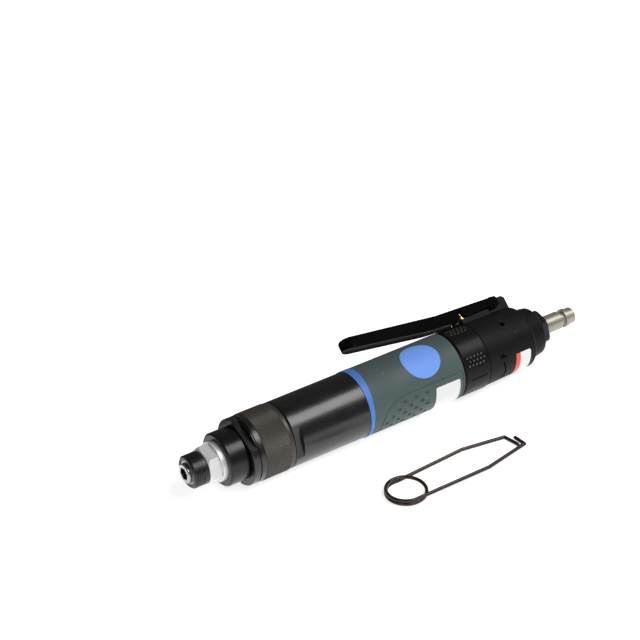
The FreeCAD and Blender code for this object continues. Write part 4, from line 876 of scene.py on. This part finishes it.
@dataclass
class Lever:
    """The throttle lever, with the underside that closes on the reverse ring.

    Plain is the CAD lever's underside, by x and radius, and closed is the finished lever's. A corner
    within match of the plain one belongs to the underside.
    """

    shop: Workshop
    plain: Line = ((158.0, 21.95), (182.6, 20.85))
    closed: Line = ((158.0, 21.95), (165.0, 20.95), (182.6, 20.0))
    rear: float = 183.2
    slack: float = 0.05
    match: float = 0.06
    sharp: float = 25.0

    def build(self) -> None:
        """Copy the CAD lever and bring its underside down over the ring."""
        node = self.shop.frame["nodes"]["throttle_lever"]
        bm = bmesh.new()
        bm.from_mesh(node.data)
        bm.transform(node.matrix_world)
        bmesh.ops.remove_doubles(bm, verts=bm.verts[:], dist=1e-6)
        front, corner, end = (x for x, _ in self.closed)
        bmesh.ops.bisect_plane(
            bm, geom=everything(bm), dist=1e-7, plane_co=(corner * MM, 0, 0), plane_no=(1, 0, 0),
        )
        moved = 0
        for vertex in bm.verts:
            x = vertex.co.x / MM
            if not front + self.slack < x < self.rear + self.slack:
                continue
            reach = math.hypot(vertex.co.y, vertex.co.z) / MM
            if abs(reach - on_line(self.plain, min(x, end))) < self.match:
                share = on_line(self.closed, min(x, end)) / reach
                vertex.co.y *= share
                vertex.co.z *= share
                moved += 1
        LOG.info("%d corners of the lever's underside moved", moved)
        lever = self.shop.piece(
            "pressed_lever", bm, Body.LEVER, "gloss_black_metal", LEVER_BLACK, sharp=self.sharp,
        )
        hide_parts("throttle_lever")


@dataclass
class Springs:
    """The two coil springs, copied from the CAD springs onto the bodies that carry them."""

    shop: Workshop
    sleeve_seat: float = 2.9
    sleeve_travel: float = 2.7
    stem_seat: float = -9.0
    stem_travel: float = 1.0

    def shorten(self, node: str, body: Body) -> None:
        """Copy a spring onto a body and hide the CAD spring.

        Args:
            node: The CAD spring's name.
            body: The body that carries it.
        """
        bm = bmesh.new()
        bm.from_mesh(self.shop.frame["nodes"][node].data)
        spring = self.shop.piece(f"{node}_coil", bm, body, "spring_steel", SPRING_WIRE, sharp=60.0)
        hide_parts(node)
        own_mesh(spring)

    def build(self) -> None:
        """Make both springs."""
        self.shorten(
            "bit_sleeve_spring", Body.SPINDLE,
        )
        self.shorten(
            "valve_spring", Body.HOUSING,
        )


@dataclass
class BushCollar:
    """The straight brass collar on the valve bush, which the photo shows in the lever's notch."""

    shop: Workshop
    bore: float = 1.15
    radius: float = 2.15
    foot: float = 21.3
    top: float = 23.2
    edge: float = 0.15
    cells_round: int = 48

    def build(self) -> None:
        """Turn the collar and set it on the bush."""
        bm = bmesh.new()
        corners = [
            (self.bore, self.foot), (self.radius, self.foot), (self.radius, self.top - self.edge),
            (self.radius - self.edge, self.top), (self.bore, self.top),
        ]
        verts = [bm.verts.new((radius, 0, height)) for radius, height in corners]
        edges = [bm.edges.new((verts[index - 1], verts[index])) for index in range(len(verts))]
        bmesh.ops.spin(
            bm, geom=verts + edges, cent=(0, 0, 0), axis=(0, 0, 1), dvec=(0, 0, 0), angle=math.tau,
            steps=self.cells_round, use_merge=True,
        )
        bmesh.ops.remove_doubles(bm, verts=bm.verts[:], dist=1e-4)
        bmesh.ops.recalc_face_normals(bm, faces=bm.faces[:])
        bmesh.ops.translate(bm, verts=bm.verts[:], vec=(STEM_PLACE, 0, 0))
        stand(bm)
        self.shop.piece("bush_collar", bm, Body.HOUSING, "brass", TURNED_BRASS)


@dataclass
class LeverGuide:
    """The low rib on the housing's platform that keeps the lever straight, on the side the photo hides."""

    shop: Workshop
    start: float = 184.2
    end: float = 191.0
    inner: float = 6.15
    outer: float = 6.5
    foot: float = 19.4
    top: float = 21.4
    edge: float = 0.08

    def build(self) -> None:
        """Stand the rib on the platform's edge."""
        size = (self.end - self.start, self.outer - self.inner, self.top - self.foot)
        middle = ((self.start + self.end) / 2, (self.inner + self.outer) / 2, (self.foot + self.top) / 2)
        bm = block(size, middle)
        bmesh.ops.bevel(
            bm, geom=bm.edges[:], offset=self.edge, offset_type="OFFSET", affect="EDGES", segments=1,
            profile=0.5, material=-1,
        )
        stand(bm)
        self.shop.piece("lever_guide", bm, Body.HOUSING, "satin_black_aluminium", SATIN_BLACK)


@dataclass
class ReverseRing:
    """The ring that turns from forward to reverse."""

    shop: Workshop
    middle: float = 174.6
    surface: float = 18.5
    index: float = -90.5
    panels: tuple[float, ...] = (-99.0, -33.0, 33.0, 99.0, 180.0)
    pitch: float = 2.3
    rows: int = 3
    columns: int = 5
    dot_radius: float = 0.56
    dot_height: float = 0.24
    line_place: float = 174.9
    line_size: tuple[float, float] = (11.2, 0.5)
    line_corner: float = 0.2

    def dots(self) -> None:
        """Raise the staggered grip dots."""
        bm = bmesh.new()
        shape = Matrix.Diagonal((self.dot_radius * MM, self.dot_radius * MM, self.dot_height * MM, 1))
        for panel in self.panels:
            for row in range(self.rows):
                for column in range(self.columns):
                    x = (column - (self.columns - 1) / 2) * self.pitch + (row % 2 - 0.5) * self.pitch / 2
                    arc = (row - (self.rows - 1) / 2) * self.pitch
                    turn = math.radians(self.index + panel) + arc / self.surface
                    place = Matrix.Translation(((self.middle + x) * MM, 0, self.surface * MM))
                    place = Matrix.Rotation(-turn, 4, "X") @ place
                    bmesh.ops.create_icosphere(bm, subdivisions=2, radius=1.0, matrix=place @ shape)
        # The dots are real raised domes; their lighter tone is a painted highlight.
        self.shop.piece("ring_grip_dots", bm, Body.RING, "black_plastic", DOTS_WITH_PAINTED_GLINT, sharp=60.0)

    def index_line(self) -> None:
        """Lay in the index line."""
        bm = flat_plate(*self.line_size)
        round_corners(bm, bm.verts[:], self.line_corner)
        thicken(bm, MARK_HEIGHT)
        wrap(bm, (self.line_place, self.index), self.surface)
        # The index line is a moulded groove; this dark strip is painted shade for it.
        self.shop.piece("ring_index_line", bm, Body.RING, "black_plastic", GROOVE_SHADE_BLACK)

    def build(self) -> None:
        """Make the ring's pieces."""
        self.dots()
        self.index_line()


@dataclass
class RearMarks:
    """The direction mark and the bare plates on the rear housing."""

    shop: Workshop
    radius: float = 18.1
    taper: Line = ((182.8, 18.1), (216.0, 17.2))
    letter_place: tuple[float, float] = (194.0, -74.5)
    letter_size: float = 5.2
    letter_weight: float = 0.15
    letter_strip: float = 0.5
    arc_width: float = 0.8
    arc_place: float = 192.5
    arc_bulge: float = 1.6
    arc_steps: int = 24
    arc: tuple[float, float] = (-82.0, -124.0)
    plate: tuple[float, float, float] = (200.5, 203.5, 210.6)
    plate_angles: tuple[float, float] = (-77.0, -150.0)
    plate_corner: float = 1.2
    plate_height: float = 0.08

    def letter(self) -> None:
        """Make the F that marks forward."""
        text = bpy.data.curves.new("forward", "FONT")
        text.body = "F"
        text.size = self.letter_size
        text.offset = self.letter_weight
        bm = drawn(text)
        bmesh.ops.remove_doubles(bm, verts=bm.verts[:], dist=1e-5)
        bmesh.ops.dissolve_limit(bm, angle_limit=0.01, verts=bm.verts[:], edges=bm.edges[:])
        bmesh.ops.rotate(bm, verts=bm.verts[:], cent=(0, 0, 0), matrix=Matrix.Rotation(math.pi / 2, 3, "Z"))
        slice_across(bm, self.letter_strip)
        thicken(bm, MARK_HEIGHT)
        wrap(bm, self.letter_place, self.radius, self.taper)
        # The F is a moulded groove; this dark letter is painted shade for it.
        self.shop.piece("forward_letter", bm, Body.HOUSING, "satin_black_aluminium", GROOVE_SHADE_BLACK)

    def arrow(self) -> None:
        """Make the curved line beside the letter."""
        width = math.radians(abs(self.arc[1] - self.arc[0])) * self.radius
        bm = bmesh.new()
        bmesh.ops.create_grid(bm, x_segments=1, y_segments=self.arc_steps, size=0.5)
        bmesh.ops.scale(bm, vec=(self.arc_width, width, 1), verts=bm.verts[:])
        for vertex in bm.verts:
            vertex.co.x += self.arc_bulge * (0.5 - (2 * vertex.co.y / width) ** 2)
        thicken(bm, MARK_HEIGHT)
        wrap(bm, (self.arc_place, sum(self.arc) / 2), self.radius, self.taper)
        # The arc is a moulded groove; this dark line is painted shade for it.
        self.shop.piece("direction_arc", bm, Body.HOUSING, "satin_black_aluminium", GROOVE_SHADE_BLACK)

    def plates(self) -> None:
        """Make the bare red and white plates."""
        start, join, end = self.plate
        middle = sum(self.plate_angles) / 2
        width = math.radians(abs(self.plate_angles[1] - self.plate_angles[0])) * self.radius
        for name, low, high, finish in (
            ("red_plate", start, join, RED_PLATE), ("white_plate", join, end, WHITE_PLATE),
        ):
            bm = flat_plate(high - low, width)
            if high == end:
                corners = [vertex for vertex in bm.verts if vertex.co.x > 0 and vertex.co.y > 0]
                round_corners(bm, corners, self.plate_corner)
            slice_across(bm, STRIP)
            thicken(bm, self.plate_height)
            wrap(bm, ((low + high) / 2, middle), self.radius, self.taper)
            self.shop.piece(name, bm, Body.HOUSING, "satin_black_aluminium", finish)

    def build(self) -> None:
        """Make the marks and plates."""
        self.letter()
        self.arrow()
        self.plates()


@dataclass(frozen=True)
class SoftLight:
    """A soft light that points at the middle of the tool. Its places and sizes are in metres."""

    name: str
    place: Place
    size: tuple[float, float]
    watts: float
    target: Place = (0.12, 0.0, 0.0)

    def hang(self) -> None:
        """Put the light into the scene."""
        lamp = bpy.data.lights.new(self.name, "AREA")
        lamp.shape = "RECTANGLE"
        lamp.size, lamp.size_y = self.size
        lamp.energy = self.watts
        item = add_object(self.name, lamp)
        item.location = self.place
        aim = Vector(self.target) - Vector(self.place)
        item.rotation_euler = aim.to_track_quat("-Z", "Y").to_euler()


KEY_LIGHT = SoftLight("key_light", (0.52, -0.46, 0.95), (1.3, 0.46), 11.0)
FRONT_LIGHT = SoftLight("front_light", (-0.9, -0.7, 0.6), (0.6, 0.6), 2.5)


@dataclass
class Studio:
    """The floor, the light and the camera."""

    floor_height: float = -18.75
    floor_reach: float = 6.0
    floor_tone: float = 0.8
    floor_glow: float = 0.75
    sky_glow: float = 0.13
    card_place: Place = (145.0, 88.0, 12.0)
    card_size: Place = (360.0, 90.0, 61.0)
    card_tone: float = 0.12
    camera_place: Place = (-494.93, -868.24, 779.71)
    camera_target: Place = (149.85, 97.98, -18.75)
    camera_roll: float = -0.6136
    focal_length: float = 139.325

    @staticmethod
    def grey(name: str, tone: float, levels: dict[str, float]) -> bpy.types.Material:
        """Make a grey material for the surroundings, with further levels of its shader by name."""
        material = bpy.data.materials.new(name)
        material.use_nodes = True
        shader = material.node_tree.nodes["Principled BSDF"]
        shader.inputs["Base Color"].default_value = (tone, tone, tone, 1)
        shader.inputs["Emission Color"].default_value = (1, 1, 1, 1)
        for label, level in levels.items():
            shader.inputs[label].default_value = level
        return material

    def floor(self) -> None:
        """Lay the pale floor."""
        bm = bmesh.new()
        bmesh.ops.create_grid(bm, x_segments=8, y_segments=8, size=self.floor_reach)
        bmesh.ops.translate(bm, verts=bm.verts[:], vec=(0, 0, self.floor_height * MM))
        floor = add_mesh("floor", bm)
        levels = {"Roughness": 0.6, "Specular IOR Level": 0.2, "Emission Strength": self.floor_glow}
        floor.data.materials.append(self.grey("pale_floor", self.floor_tone, levels))

    def dark_card(self) -> None:
        """Stand a dark block behind the tool, as in the photograph, that only reflections see."""
        bm = block(self.card_size, self.card_place)
        bmesh.ops.scale(bm, vec=(MM, MM, MM), verts=bm.verts[:])
        card = add_mesh("dark_card", bm)
        card.data.materials.append(self.grey("dark_card", self.card_tone, {"Roughness": 0.7}))
        card.visible_camera = False
        card.visible_diffuse = False
        card.visible_shadow = False

    def world(self) -> None:
        """Set the even white surroundings."""
        world = bpy.data.worlds.new("studio")
        world.use_nodes = True
        sky = world.node_tree.nodes["Background"]
        sky.inputs["Color"].default_value = (1, 1, 1, 1)
        sky.inputs["Strength"].default_value = self.sky_glow
        bpy.context.scene.world = world

    def camera(self) -> None:
        """Set the camera where the photograph was taken from."""
        data = bpy.data.cameras.new("camera")
        data.sensor_fit = "HORIZONTAL"
        data.sensor_width = 36.0
        data.lens = self.focal_length
        data.clip_start = 0.01
        item = add_object("camera", data)
        place = Vector(self.camera_place) * MM
        back = (place - Vector(self.camera_target) * MM).normalized()
        right = Vector((0, 0, 1)).cross(back).normalized()
        level = Matrix((right, back.cross(right), back)).transposed()
        turn = Matrix.Rotation(math.radians(self.camera_roll), 3, "Z")
        item.matrix_world = Matrix.Translation(place) @ (level @ turn).to_4x4()
        bpy.context.scene.camera = item

    def build(self) -> None:
        """Set up the studio."""
        self.floor()
        self.world()
        KEY_LIGHT.hang()
        FRONT_LIGHT.hang()
        self.dark_card()
        self.camera()
        bpy.context.scene.view_settings.view_transform = "Standard"


def main() -> None:
    """Dress the frame and build each sub-assembly in turn."""
    logging.basicConfig(level=logging.INFO, format="%(message)s")
    for item in list(bpy.data.objects):
        bpy.data.objects.remove(item)
    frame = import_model()
    shop = Workshop(frame)
    shop.dress_nodes()
    Studio().build()
    for part in (
        TorqueCollar(shop), Grip(shop), Lever(shop), BushCollar(shop), LeverGuide(shop), ReverseRing(shop),
        RearMarks(shop), Springs(shop),
    ):
        part.build()
        LOG.info("%s is done", type(part).__name__)


if __name__ == "__main__":
    main()
